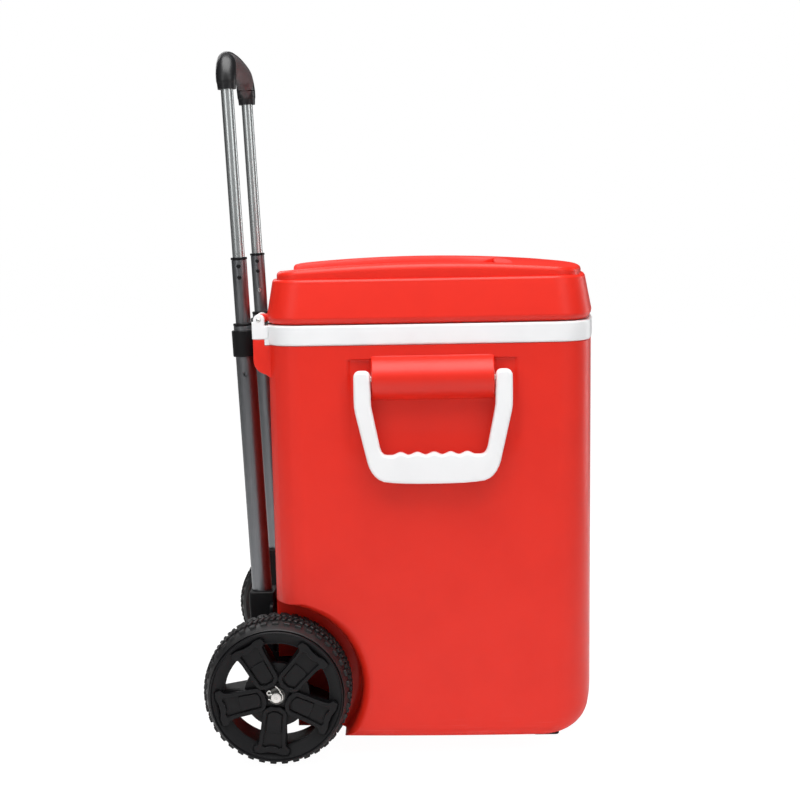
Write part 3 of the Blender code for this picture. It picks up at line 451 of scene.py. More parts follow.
class Signal:
    """A shader socket that can be used in an expression with numbers and other sockets."""

    def __init__(self, shader: "Shader", socket: bpy.types.NodeSocket) -> None:
        """Wraps a socket of a shader's tree."""
        self.shader = shader
        self.socket = socket

    def maths(self, operation: str, *values: "Signal | float") -> "Signal":
        """A Math node on these values."""
        return self.shader.node("ShaderNodeMath", {"operation": operation}, dict(enumerate(values)))

    def __add__(self, other: "Signal | float") -> "Signal":
        """Sum."""
        return self.maths("ADD", self, other)

    __radd__ = __add__

    def __sub__(self, other: "Signal | float") -> "Signal":
        """Difference."""
        return self.maths("SUBTRACT", self, other)

    def __rsub__(self, other: "Signal | float") -> "Signal":
        """Difference from a number."""
        return self.maths("SUBTRACT", other, self)

    def __mul__(self, other: "Signal | float") -> "Signal":
        """Product."""
        return self.maths("MULTIPLY", self, other)

    __rmul__ = __mul__

    def between(self, low: float, high: float) -> "Signal":
        """0 below low, 1 above high, and eased between them."""
        inputs = {"Value": self, "From Min": low, "From Max": high}
        return self.shader.node("ShaderNodeMapRange", {"interpolation_type": "SMOOTHSTEP"}, inputs)


class Shader:
    """The node tree of one material."""

    def __init__(self, name: str) -> None:
        """Starts a material with a Principled shader and object coordinates.

        Args:
            name: the material's name.
        """
        self.material = bpy.data.materials.new(name)
        self.material.use_nodes = True
        self.tree = self.material.node_tree
        self.surface = self.tree.nodes["Principled BSDF"]
        self.place = self.node("ShaderNodeTexCoord", output="Object")

    def node(
        self, kind: str, settings: dict | None = None, inputs: dict | None = None, output: str | int = 0
    ) -> Signal:
        """Adds a node.

        Args:
            kind: the node's type.
            settings: its properties, set first.
            inputs: values or links for its sockets, by name or number.
            output: the output that is wanted.

        Returns:
            That output.
        """
        made = self.tree.nodes.new(kind)
        for name, value in (settings or {}).items():
            setattr(made, name, value)
        for key, value in (inputs or {}).items():
            if isinstance(value, Signal):
                self.tree.links.new(value.socket, made.inputs[key])
            else:
                made.inputs[key].default_value = value
        return Signal(self, made.outputs[output])

    def noise(self, size: float, detail: float = 2.0, place: Signal | None = None) -> Signal:
        """A noise pattern whose blotches are about this many metres across."""
        inputs = {"Vector": place or self.place, "Scale": 1 / size, "Detail": detail}
        return self.node("ShaderNodeTexNoise", {"noise_dimensions": "3D"}, inputs, "Fac")

    def stretched(self, size: Sequence[float]) -> Signal:
        """Object coordinates divided by a size along each axis, for patterns that run one way."""
        return self.node("ShaderNodeMapping", None, {"Vector": self.place, "Scale": [1 / s for s in size]})

    def height(self) -> Signal:
        """How high a point is above the floor, in metres."""
        return self.node("ShaderNodeSeparateXYZ", None, {0: self.place}, "Z")

    def blend(self, share: Signal | float, first: Colour | Signal, second: Colour | Signal) -> Signal:
        """A colour between two others."""
        ends = [one if isinstance(one, Signal) else (*one, 1.0) for one in (first, second)]
        inputs = {0: share, 6: ends[0], 7: ends[1]}
        return self.node("ShaderNodeMix", {"data_type": "RGBA"}, inputs, 2)

    def bump(self, pattern: Signal, depth: float) -> Signal:
        """A normal bent by a height pattern whose full depth is in metres."""
        return self.node("ShaderNodeBump", None, {"Height": pattern, "Distance": depth}, "Normal")

    def fed(self, **sockets: "Signal | float") -> bpy.types.Material:
        """Sets or links the surface's sockets, whose names have _ for a space, and returns the material."""
        for name, value in sockets.items():
            socket = self.surface.inputs[name.replace("_", " ")]
            if isinstance(value, Signal):
                self.tree.links.new(value.socket, socket)
            else:
                socket.default_value = value
        return self.material


# ---------------------------------------------------------------- finishes


@dataclass(frozen=True)
class MouldedPlastic:
    """A moulded plastic: its colour drifts a little and its skin has the mould's fine grain."""

    name: str
    colour: Colour
    drifted: Colour
    roughness: float
    grain_size: float = 0.0011
    grain_depth: float = 0.00006
    ripple: float = 0.00010
    scuff_height: float = 0.0
    shine: float = 0.5

    def make(self) -> bpy.types.Material:
        """Builds the material."""
        shader = Shader(self.name)
        drift = shader.noise(0.070, 3.0)
        cells = shader.node(
            "ShaderNodeTexVoronoi",
            {"feature": "SMOOTH_F1"},
            {"Vector": shader.place, "Scale": 1 / self.grain_size, "Smoothness": 0.6},
            "Distance",
        )
        fine = shader.noise(self.grain_size * 0.4, 2.0)
        skin = cells * 0.7 + fine * 0.5
        waves = shader.noise(0.022, 1.0)
        colour = shader.blend(drift.between(0.35, 0.75), self.colour, self.drifted)
        roughness = self.roughness + (shader.noise(0.006, 3.0) - 0.5) * 0.10 + (drift - 0.5) * 0.08
        if self.scuff_height:
            low_down = 1 - shader.height().between(0.0, self.scuff_height)
            streaks = shader.noise(1.0, 4.0, shader.stretched((0.004, 0.050, 0.0025)))
            scuffs = low_down * streaks.between(0.56, 0.72)
            paler = tuple(channel + (1 - channel) * 0.16 for channel in self.colour)
            colour = shader.blend(scuffs * 0.35, colour, paler)
            roughness = roughness + scuffs * 0.12
        grained = shader.bump(skin * (self.grain_depth / self.ripple) + waves, self.ripple)
        return shader.fed(
            Base_Color=colour, Roughness=roughness, Specular_IOR_Level=self.shine, Normal=grained
        )


@dataclass(frozen=True)
class DrawnMetal:
    """Drawn or turned metal, with fine lines along one direction."""

    name: str
    colour: Colour
    drifted: Colour
    roughness: float
    grain: tuple[float, float, float]
    line_depth: float = 0.00002

    def make(self) -> bpy.types.Material:
        """Builds the material."""
        shader = Shader(self.name)
        lines = shader.noise(1.0, 3.0, shader.stretched(self.grain))
        cloud = shader.noise(0.030, 2.0)
        colour = shader.blend(lines.between(0.3, 0.7) * 0.6 + cloud * 0.4, self.colour, self.drifted)
        roughness = self.roughness + (lines - 0.5) * 0.22 + (cloud - 0.5) * 0.10
        return shader.fed(
            Base_Color=colour, Roughness=roughness, Metallic=1.0, Normal=shader.bump(lines, self.line_depth)
        )


@dataclass(frozen=True)
class SoftTouchGrip:
    """The pull grip's black plastic, with a greyer soft skin on the underside of its bar."""

    name: str
    colour: Colour
    soft: Colour
    roughness: float
    soft_below: float

    def make(self) -> bpy.types.Material:
        """Builds the material."""
        shader = Shader(self.name)
        across = shader.node("ShaderNodeSeparateXYZ", None, {0: shader.place}, "X")
        reach = across.maths("ABSOLUTE", across)
        under = 1 - shader.height().between(self.soft_below - 0.0015, self.soft_below + 0.0015)
        bar = 1 - reach.between(0.108, 0.110)
        mask = under * bar
        pebble = shader.node(
            "ShaderNodeTexVoronoi", {"feature": "F1"}, {"Vector": shader.place, "Scale": 900.0}, "Distance"
        )
        cloud = shader.noise(0.012, 3.0)
        plain = shader.blend(cloud, self.colour, tuple(channel * 1.5 for channel in self.colour))
        colour = shader.blend(mask, plain, self.soft)
        roughness = self.roughness + mask * 0.25 + (cloud - 0.5) * 0.12
        pebbled = shader.bump(pebble * (0.3 + mask), 0.0001)
        return shader.fed(Base_Color=colour, Roughness=roughness, Normal=pebbled)


@dataclass(frozen=True)
class Foam:
    """Rigid insulation foam, pale and full of small cells."""

    name: str
    colour: Colour

    def make(self) -> bpy.types.Material:
        """Builds the material."""
        shader = Shader(self.name)
        cells = shader.node(
            "ShaderNodeTexVoronoi", {"feature": "F1"}, {"Vector": shader.place, "Scale": 400.0}, "Distance"
        )
        darker = tuple(channel * 0.8 for channel in self.colour)
        colour = shader.blend(cells, self.colour, darker)
        return shader.fed(Base_Color=colour, Roughness=0.92, Normal=shader.bump(cells, 0.0005))


@dataclass(frozen=True)
class Tread:
    """Hard tyre plastic, with a little dust in patches."""

    name: str
    colour: Colour
    dusty: Colour
    roughness: float

    def make(self) -> bpy.types.Material:
        """Builds the material."""
        shader = Shader(self.name)
        dust = shader.noise(0.018, 5.0).between(0.48, 0.72)
        speck = shader.noise(0.0012, 2.0)
        colour = shader.blend(dust * speck, self.colour, self.dusty)
        roughness = self.roughness + dust * 0.15 + (speck - 0.5) * 0.10
        return shader.fed(Base_Color=colour, Roughness=roughness, Normal=shader.bump(speck, 0.00012))


RED = (0.74, 0.021, 0.009)
BLACK = (0.0042, 0.0042, 0.0050)
ALONG_Z = (0.0004, 0.0004, 0.060)
ALONG_X = (0.030, 0.0004, 0.0004)
FINISHES = {
    Slot.RED: MouldedPlastic("red_moulded", RED, (0.71, 0.019, 0.008), 0.40, scuff_height=0.06, shine=0.34),
    Slot.WHITE: MouldedPlastic(
        "white_moulded", (0.86, 0.87, 0.88), (0.82, 0.83, 0.84), 0.36, 0.0009, 0.00003, 0.00006
    ),
    Slot.BLACK: MouldedPlastic(
        "black_moulded", BLACK, (0.0070, 0.0070, 0.0078), 0.40, 0.0008, 0.00007, shine=0.20
    ),
    Slot.TREAD: Tread("tread_plastic", (0.0055, 0.0055, 0.0062), (0.020, 0.019, 0.018), 0.52),
    Slot.FOOT: Tread("foot_rubber", (0.022, 0.022, 0.022), (0.070, 0.068, 0.065), 0.75),
    Slot.NYLON: MouldedPlastic("natural_nylon", (0.55, 0.55, 0.52), (0.48, 0.48, 0.45), 0.45),
    Slot.FOAM: Foam("insulation", (0.80, 0.72, 0.50)),
    Slot.GUNMETAL: DrawnMetal("gunmetal_anodised", (0.17, 0.175, 0.185), (0.23, 0.235, 0.245), 0.34, ALONG_Z),
    Slot.BRIGHT: DrawnMetal("bright_tube", (0.66, 0.69, 0.69), (0.55, 0.58, 0.58), 0.27, ALONG_Z),
    Slot.STEEL: DrawnMetal("zinc_plated", (0.62, 0.62, 0.60), (0.72, 0.71, 0.68), 0.30, ALONG_X),
}
MATERIALS = {slot: finish.make() for slot, finish in FINISHES.items()}
# Washers are duller than the other steel pieces.
DULL_STEEL = DrawnMetal("dull_steel", (0.09, 0.09, 0.09), (0.13, 0.13, 0.12), 0.42, ALONG_X).make()


# ---------------------------------------------------------------- plan of the box


@dataclass(frozen=True)
class Footprint:
    """The plan that tub, rim and lid share: a rounded rectangle whose sides bow outwards."""

    half_width: float = 0.215
    front: float = -0.2248
    rear: float = 0.1595
    corner: float = 0.037
    least_corner: float = 0.008
    scores: int = 13
    bow_front: float = 0.0255
    bow_rear: float = 0.0115
    bow_side: float = 0.005

    @property
    def middle(self) -> float:
        """The plan's middle along Y."""
        return (self.front + self.rear) / 2

    def blank(
        self,
        inset: float,
        low: float,
        high: float,
        floor_edge: float = 0.0,
        top_edge: float = 0.0,
        fine: int = 5,
    ) -> Piece:
        """A straight-sided block on this plan, with rounded corners and edges, before it is bowed.

        Args:
            inset: how far it lies inside the plan.
            low: its lowest height.
            high: its highest height.
            floor_edge: the radius of its lower edge.
            top_edge: the radius of its upper edge.
            fine: how many steps the rounded edges have.

        Returns:
            The block.
        """
        half = self.half_width - inset
        piece = Piece.block((-half, self.front + inset, low), (half, self.rear - inset, high))
        piece.bevelled(runs_along("z", (high - low) / 2), max(self.corner - inset, self.least_corner), 10)
        for height, radius in ((low, floor_edge), (high, top_edge)):
            if radius:
                piece.bevelled(lies_at(height), radius, fine)
        piece.scored(Axis.X, spread(-half + self.corner, half - self.corner, self.scores))
        return piece.scored(Axis.Y, spread(self.front + self.corner, self.rear - self.corner, self.scores))

    def bowed(self, piece: Piece, inset: float) -> Piece:
        """Bows a block's sides outwards."""
        half_x = self.half_width - inset
        half_y = (self.rear - self.front) / 2 - inset

        def bow(point: Vector) -> Vector:
            across = point.x / half_x
            along = (point.y - self.middle) / half_y
            reach = self.bow_front if along < 0 else self.bow_rear
            point.x += self.bow_side * across * (1 - along * along)
            point.y += reach * along * (1 - across * across)
            return point

        return piece.reshaped(bow)

    def shaped(
        self, inset: float, low: float, high: float, floor_edge: float = 0.0, top_edge: float = 0.0
    ) -> Piece:
        """A finished block on this plan."""
        return self.bowed(self.blank(inset, low, high, floor_edge, top_edge), inset)


PLAN = Footprint()


@dataclass(frozen=True)
class WheelRoom:
    """The space that the wheels and the axle take out of the tub's lower rear."""

    centre: Flat = AXLE
    radius: float = 0.1045
    inner: float = 0.165
    mouth: float = 0.2155
    fillet: float = 0.008
    flare: float = 0.013
    tunnel_front: float = 0.138
    tunnel_top: float = 0.118
    beyond: float = 0.30

    def cutter(self, grow: float = 0.0, lipped: bool = False) -> Piece:
        """The space as a tool.

        Args:
            grow: how much larger it is all round.
            lipped: whether its mouths flare with a small radius.

        Returns:
            The tool.
        """
        low = (-self.beyond + 0.01, self.tunnel_front - grow, -0.05)
        high = (self.beyond - 0.01, self.beyond, self.tunnel_top + grow)
        tool = Piece.block(low, high)
        radius = self.radius + grow
        corner = (radius - self.fillet, self.inner - grow + self.fillet)
        profile = [(0.0, self.inner - grow)] + arc(corner, self.fillet, -90, 0, 5)
        if lipped:
            profile += arc((radius + self.flare, self.mouth - self.flare), self.flare, 180, 90, 8)
            radius = profile[-1][0]
        profile += [(radius, self.beyond), (0.0, self.beyond)]
        for side in Side:
            turned = [(r, side.value * x) for r, x in profile]
            tool.joined(Piece.turned(turned, Axis.X, (0, *self.centre), 96))
        return tool


WHEEL_ROOM = WheelRoom()
LINER_ROOM = WheelRoom(radius=0.115, fillet=0.003)


# ---------------------------------------------------------------- tub


@dataclass
class Tub:
    """The red outer tub, the white liner with its rim and the front feet, with the liner set in by the hidden
    foam's thickness.
    """

    bottom: float = 0.0245
    top: float = 0.5153
    wall: float = 0.0032
    step_in: float = 0.0012
    draft: float = 0.0025
    side_edge: float = 0.015
    front_edge: float = 0.040
    tilt: float = 0.013
    tilt_fades_at: float = 0.12
    swing_y: float = SWING_Y
    swing_z: float = 0.476
    boss_half: float = 0.0740
    boss_half_height: float = 0.0272
    boss_out: float = 0.2415
    boss_root: float = 0.205
    pocket_half: float = 0.0990
    pocket_top: float = 0.4975
    pocket_full: float = 0.410
    pocket_bottom: float = 0.352
    pocket_floor: float = 0.2140
    foam: float = 0.024
    foam_under: float = 0.030
    liner_wall: float = 0.003

    def build(self) -> None:
        """Models and dresses every piece of the tub."""
        self.build_shell()
        self.build_liner()
        self.build_feet()

    def side_reach(self, wall: float, y: float, z: float) -> float:
        """How far out the side lies, with the hollow behind the handle and the boss that carries it.

        Args:
            wall: how far out the plain side lies there.
            y: the place along the side.
            z: its height.

        Returns:
            The distance from the middle of the cooler.
        """
        aside = abs(y - self.swing_y)
        fade = 1 - ease((z - self.pocket_bottom) / (self.pocket_full - self.pocket_bottom))
        steep = 0.22 + 0.5 * ease((z - 0.45) / 0.04)
        hollow = self.pocket_floor + 0.009 * fade
        hollow += steep * max(0.0, aside - self.pocket_half) + 3.0 * max(0.0, z - self.pocket_top)
        reach = soft_min(wall, hollow, 0.0022)
        height = 1 - ((z - self.swing_z) / self.boss_half_height) ** 2
        inward = min(max((self.boss_half - aside) / 0.003, 0.0), 1.0)
        if height > 0 and inward > 0:
            crown = math.sqrt(height) * (1 - (1 - inward) ** 4) ** 0.25
            boss = self.boss_root + (self.boss_out - self.boss_root) * crown
            fillet = 0.0045 if z > self.swing_z else 0.010
            reach = soft_max(reach, boss, 0.0015 + fillet * ease((self.boss_half - aside) / 0.008))
        return reach

    def outside(self) -> Piece:
        """The tub's outer form: drafted, bowed, rounded below, with both sides' relief."""
        piece = PLAN.blank(self.step_in, self.bottom, self.top, self.side_edge, 0.0, 7)
        edges = [0.0045, 0.019, 0.024, 0.030, 0.036, 0.042]
        heights = [self.bottom + edge for edge in edges[1:]] + spread(0.080, 0.335, 18)
        heights += spread(self.pocket_bottom - 0.006, self.pocket_full, 12)
        heights += [self.swing_z + self.boss_half_height * math.sin(turn) for turn in spread(-1.5, 1.5, 27)]
        heights += [self.pocket_top + step for step in spread(0.0002, 0.0042, 5)]
        piece.scored(Axis.Z, sorted(heights))
        asides = [self.boss_half - gap for gap in (0.0001, 0.00025, 0.0005, 0.001, 0.0018, 0.003, 0.006)]
        asides += [self.boss_half + gap for gap in (0.0, 0.0018, 0.004)]
        gaps = (-0.002, -0.0008, 0.0002, 0.0012, 0.0025, 0.004, 0.007, 0.012)
        asides += [self.pocket_half + gap for gap in gaps]
        asides += [0.022, 0.045]
        piece.scored(Axis.Y, [self.swing_y + sign * aside for aside in asides for sign in (-1, 1)])
        piece.scored(Axis.Y, spread(0.016, 0.151, 10))
        half = PLAN.half_width - self.step_in
        on_side = half - 1e-5
        depth = PLAN.rear - PLAN.front

        def shape(point: Vector) -> Vector:
            flank = abs(point.x) > on_side
            side = math.copysign(1.0, point.x)
            rise = point.z - self.bottom
            inset = self.draft * (1 - rise / (self.top - self.bottom))
            under = quarter(rise, self.front_edge) - quarter(rise, self.side_edge)
            across = point.x / half
            along = (point.y - PLAN.middle) / (depth / 2 - self.step_in)
            bow = PLAN.bow_front if along < 0 else PLAN.bow_rear
            x = point.x * (1 - inset / half) + PLAN.bow_side * across * (1 - along * along)
            y = point.y - inset * along + bow * along * (1 - across * across)
            y += under * (1 - along) / 2 * (1 if under > 0 else 0)
            if flank:
                x = side * self.side_reach(abs(x), y, point.z)
            fade = max(0.0, 1 - rise / self.tilt_fades_at)
            return Vector((x, y, point.z + self.tilt * fade * (y - PLAN.middle)))

        return piece.reshaped(shape)

    def gusset(self, side: Side) -> Piece:
        """The bulge under a hinge lug."""
        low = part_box("hinge_pin_left")[0].x if side is Side.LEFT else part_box("hinge_pin_right")[0].x
        rear, turn = 0.1795, 0.162
        outline = [(0.1575, 0.474), (0.1575, 0.5150), (0.1655, 0.5150), (0.1655, 0.5222), (rear, 0.5222)]
        outline += arc((turn, 0.497), rear - turn, 0, -80, 10)
        return Piece.plate([outline], low + 0.001, low + 0.051, Axis.X, 0.0012)

    def build_shell(self) -> None:
        """The red tub."""
        shell = self.outside()
        pad = Piece.block((-0.085, 0.155, 0.4985), (0.085, 0.1722, 0.5150))
        pad.modified("BEVEL", width=0.0015, segments=3)
        shell.joined(pad, *[self.gusset(side) for side in Side])
        cavity = PLAN.shaped(self.step_in + self.wall, self.bottom + 0.016, self.top + 0.02, 0.030)
        cavity.cut(WHEEL_ROOM.cutter(self.wall, lipped=True))
        for side in Side:
            inner = self.pocket_floor - self.wall
            low, high = sorted((side.value * inner, side.value * 0.25))
            front, rear = self.swing_y - 0.107, self.swing_y + 0.107
            cavity.cut(Piece.block((low, front, self.pocket_bottom), (high, rear, self.pocket_top + 0.0032)))
        shell.cut(cavity, WHEEL_ROOM.cutter(0.0, lipped=True))
        shell.handed_over("tub_shell", "root", Slot.RED, "body_shell")

    def build_liner(self) -> None:
        """The white liner: its tub, the rim with rolled edges, and the lugs of the lid's hinges."""
        rim_low, rim_top = self.top + 0.0003, self.top + 0.0247
        inset = self.wall + self.foam + self.step_in
        floor = self.bottom + self.wall + self.foam_under
        rim = PLAN.shaped(0.0, rim_low, rim_top, 0.0030, 0.0028)
        rim.cut(PLAN.shaped(0.005, rim_low - 0.02, rim_top - 0.0035))
        body = PLAN.shaped(inset, floor, rim_top - 0.001, 0.020)
        rim.joined(body.cut(LINER_ROOM.cutter(0.020)))
        for side in Side:
            middle = side.value * HINGE_X
            lug = Piece.block((middle - 0.025, 0.1605, 0.5225), (middle + 0.025, 0.1805, rim_top - 0.0012))
            web = Piece.block((middle - 0.0245, 0.1570, 0.5157), (middle + 0.0245, 0.1652, 0.5245))
            rim.joined(lug.modified("BEVEL", width=0.0015, segments=3), web)
            ear = [(0.1652, 0.533), (0.1805, 0.533), (0.1805, 0.5435)]
            ear += arc(HINGE, 0.0068, -15, 180, 24)
            for start in (middle - 0.025, middle + 0.013):
                rim.joined(Piece.plate([ear], start, start + 0.012, Axis.X, 0.0010))
        cavity = PLAN.shaped(inset + self.liner_wall, floor + self.liner_wall, rim_top + 0.01, 0.018)
        rim.cut(cavity.cut(LINER_ROOM.cutter(0.020 + self.liner_wall)))
        rim.cut(Piece.rod(PIN_HOLE, -DRILL_REACH, DRILL_REACH, Axis.X, (0, *HINGE)))
        on_top = lies_at(rim_top, 1e-4)

        def round_the_mouth(edge: bmesh.types.BMEdge) -> bool:
            near = all(abs(v.co.x) < 0.192 and -0.225 < v.co.y < 0.145 for v in edge.verts)
            return near and on_top(edge)

        rim.bevelled(round_the_mouth, 0.0015, 2)
        rim.handed_over("liner_and_rim", "root", Slot.WHITE, "inner_liner")

    def build_feet(self) -> None:
        """The two front feet, with a row of grip ribs under each."""
        for side in Side:
            low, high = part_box(f"front_foot_{side.label}")
            foot = Piece.block(low, high)
            foot.bevelled(runs_along("z", 0.01), 0.005, 5)
            foot.modified("BEVEL", width=0.0015, segments=3, limit_method="ANGLE", angle_limit=1.2)
            middle = (low + high) / 2
            bore = [(0.0, -0.001), (0.0053, -0.001), (0.0053, 0.008)]
            bore += [(SCREW_HOLE, 0.008), (SCREW_HOLE, 0.04), (0.0, 0.04)]
            foot.cut(Piece.turned(bore, Axis.Z, (middle.x, middle.y, 0), 32))
            for offset in (-0.018, -0.012, 0.012, 0.018):
                x = middle.x + offset
                foot.cut(Piece.block((x - 0.0012, low.y - 0.01, -0.001), (x + 0.0012, high.y + 0.01, 0.0012)))
            name = f"front_foot_pad_{side.label}"
            foot.handed_over(name, "root", Slot.FOOT, f"front_foot_{side.label}")


# ---------------------------------------------------------------- lid


@dataclass
class Lid:
    """The red lid with two raised rails and the hollow between them, and the white panel under it."""

    bottom: float = 0.5403
    edge: float = 0.0095
    step: float = 0.5945
    lean: float = 0.008
    rail_inset: float = 0.0130
    rail_end: float = 0.6040
    rail_crown: float = 0.0077
    rail_round: float = 0.0055
    channel_half: float = 0.150
    channel_front: float = -0.140
    channel_floor: float = 0.5905
    scoop_floor: float = 0.5575
    scoop_start: float = 0.100
    wall: float = 0.003

    def build(self) -> None:
        """Models and dresses every piece of the lid."""
        self.build_shell()
        self.build_panel()

    def rail_height(self, y: float) -> float:
        """The height of the rails, highest half-way along."""
        share = min(1.0, abs(y - PLAN.middle) / ((PLAN.rear - PLAN.front) / 2 - self.rail_inset))
        return self.rail_end + self.rail_crown * (1 - share * share)

    def raised_top(self) -> Piece:
        """The rails and the plateau that joins them at the front, with soft inner edges."""
        base, nominal = self.step - 0.008, self.rail_end
        piece = PLAN.blank(self.rail_inset, base, nominal, 0.0, self.rail_round)
        inner = self.channel_half
        slope = [step * 0.001 for step in range(8)]
        piece.scored(Axis.X, [sign * (inner - step) for step in slope for sign in (-1, 1)])
        piece.scored(Axis.Y, [self.channel_front + step for step in slope])
        PLAN.bowed(piece, self.rail_inset)

        def shape(point: Vector) -> Vector:
            deep = min(inner - abs(point.x), point.y - self.channel_front)
            rail = self.rail_height(point.y)
            top = rail - (rail - self.channel_floor + 0.0008) * ease(deep / 0.007)
            point.z = base + (point.z - base) * (top - base) / (nominal - base)
            return point

        return piece.reshaped(shape)

    def hollow(self, grow: float) -> Piece:
        """The tool that clears the channel's floor and the scoop at its rear."""
        floor = self.channel_floor - grow
        rear = PLAN.rear + 0.004
        outline = [(self.channel_front + 0.004 - grow, floor), (self.scoop_start - 0.006, floor)]
        outline += [(self.scoop_start, floor - 0.0006), (self.scoop_start + 0.006, floor - 0.0028)]
        outline += [(rear - 0.006, self.scoop_floor + 0.0016 - grow), (rear, self.scoop_floor - grow)]
        outline += [(rear + 0.06, self.scoop_floor - grow), (rear + 0.06, 0.66)]
        outline += [(self.channel_front + 0.004 - grow, 0.66)]
        half = self.channel_half - 0.004 + grow
        return Piece.plate([outline], -half, half, Axis.X)

    def build_shell(self) -> None:
        """The red lid."""
        shell = PLAN.blank(0.0005, self.bottom, self.step, self.edge, 0.0034, 6)
        half = PLAN.half_width
        half_depth = (PLAN.rear - PLAN.front) / 2

        def lean(point: Vector) -> Vector:
            share = max(0.0, (point.z - self.bottom - self.edge) / (self.step - self.bottom - self.edge))
            inset = self.lean * share
            point.x -= inset * point.x / half
            point.y -= inset * (point.y - PLAN.middle) / half_depth
            return point

        PLAN.bowed(shell.reshaped(lean), 0.0005)
        shell.joined(self.raised_top())
        shell.cut(self.hollow(0.0))
        room = PLAN.shaped(self.edge + self.wall, self.bottom - 0.01, self.step - self.wall)
        room.cut(self.hollow(self.wall))
        shell.cut(room)
        for side in Side:
            middle = side.value * HINGE_X
            outline = [(0.1585, self.bottom + 0.0065), (0.1585, 0.552)]
            outline += arc(HINGE, 0.0062, 75, -110, 20)
            shell.joined(Piece.plate([outline], middle - 0.0124, middle + 0.0124, Axis.X, 0.0008))
        shell.cut(Piece.rod(PIN_HOLE, -DRILL_REACH, DRILL_REACH, Axis.X, (0, *HINGE)))
        shell.handed_over("lid_cover", "lid", Slot.RED, "lid_shell", sharp=38)

    def build_panel(self) -> None:
        """The white panel that closes the lid from below, with a plug that fits the opening."""
        low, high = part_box("lid_liner")
        opening = 0.0334
        panel = PLAN.shaped(self.edge + self.wall + 0.0015, self.bottom, high.z)
        panel.joined(PLAN.shaped(opening, low.z, self.bottom + 0.002, 0.003))
        dish = PLAN.shaped(opening + 0.030, low.z - 0.02, low.z + 0.004, 0.0, 0.003)
        panel.cut(dish)
        panel.handed_over("lid_panel", "lid", Slot.WHITE, "lid_liner")


# ---------------------------------------------------------------- swing handles


@dataclass
class SwingHandles:
    """The white carrying handle on each side, with finger bumps along its grip."""

    half: float = 0.095
    arm: float = 0.0205
    knee: float = 0.443
    top: float = 0.4862
    upper: float = 0.384
    lower: float = 0.349
    inner_half: float = 0.0615
    bumps: int = 5
    pitch: float = 0.020
    bump_height: float = 0.0034
    edge: float = 0.0036
    y: float = SWING_Y

    def outline(self) -> list[Flat]:
        """The handle's outline in its own plane, as (along, height) points."""
        low = self.lower
        half = [(0.0, low), (0.018, low + 0.0001), (0.035, low + 0.0006), (0.050, low + 0.0016)]
        half += [(0.0606, low + 0.0030), (0.0664, low + 0.0056), (0.0712, low + 0.0095)]
        half += [(0.0750, low + 0.0146), (0.0780, low + 0.0205), (0.0800, low + 0.0265)]
        half += [(0.0815, low + 0.033)]
        half += [(self.half - 0.0014, self.knee - 0.008), (self.half - 0.0003, self.knee - 0.001)]
        half += [(self.half, self.knee + 0.007)]
        turn = 0.0078
        half += arc((self.half - turn, self.top - turn), turn, 0, 90, 8)
        half += arc((self.half - self.arm + turn, self.top - turn), turn, 90, 180, 8)
        inner = self.half - self.arm
        half += [(inner, self.knee + 0.008), (inner - 0.0002, self.knee + 0.001)]
        half += [(inner - 0.0013, self.knee - 0.006)]
        corner = ((0.0032, 0.0095), (0.0012, 0.0040), (-0.0015, 0.0010), (-0.0055, 0.0))
        half += [(self.inner_half + a, self.upper + b) for a, b in corner]
        reach = self.bumps * self.pitch / 2
        steps = self.bumps * 12 // 2
        for step in range(steps + 1):
            place = reach * (1 - step / steps)
            wave = 0.5 - 0.5 * math.cos(math.tau * (reach - place) / self.pitch)
            half.append((place, self.upper + self.bump_height * wave ** 0.9))
        return half + [(-a, b) for a, b in reversed(half[1:-1])]

    def build(self) -> None:
        """Models and dresses both handles."""
        outline = [(self.y + a, b) for a, b in self.outline()]
        for side in Side:
            low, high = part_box(f"swing_handle_{side.label}")
            handle = Piece.plate([outline], low.x, high.x, Axis.X, self.edge)
            name = f"carry_handle_{side.label}"
            body = f"side_handle_{side.label}"
            handle.handed_over(name, body, Slot.WHITE, f"swing_handle_{side.label}", sharp=50)


# ---------------------------------------------------------------- wheels


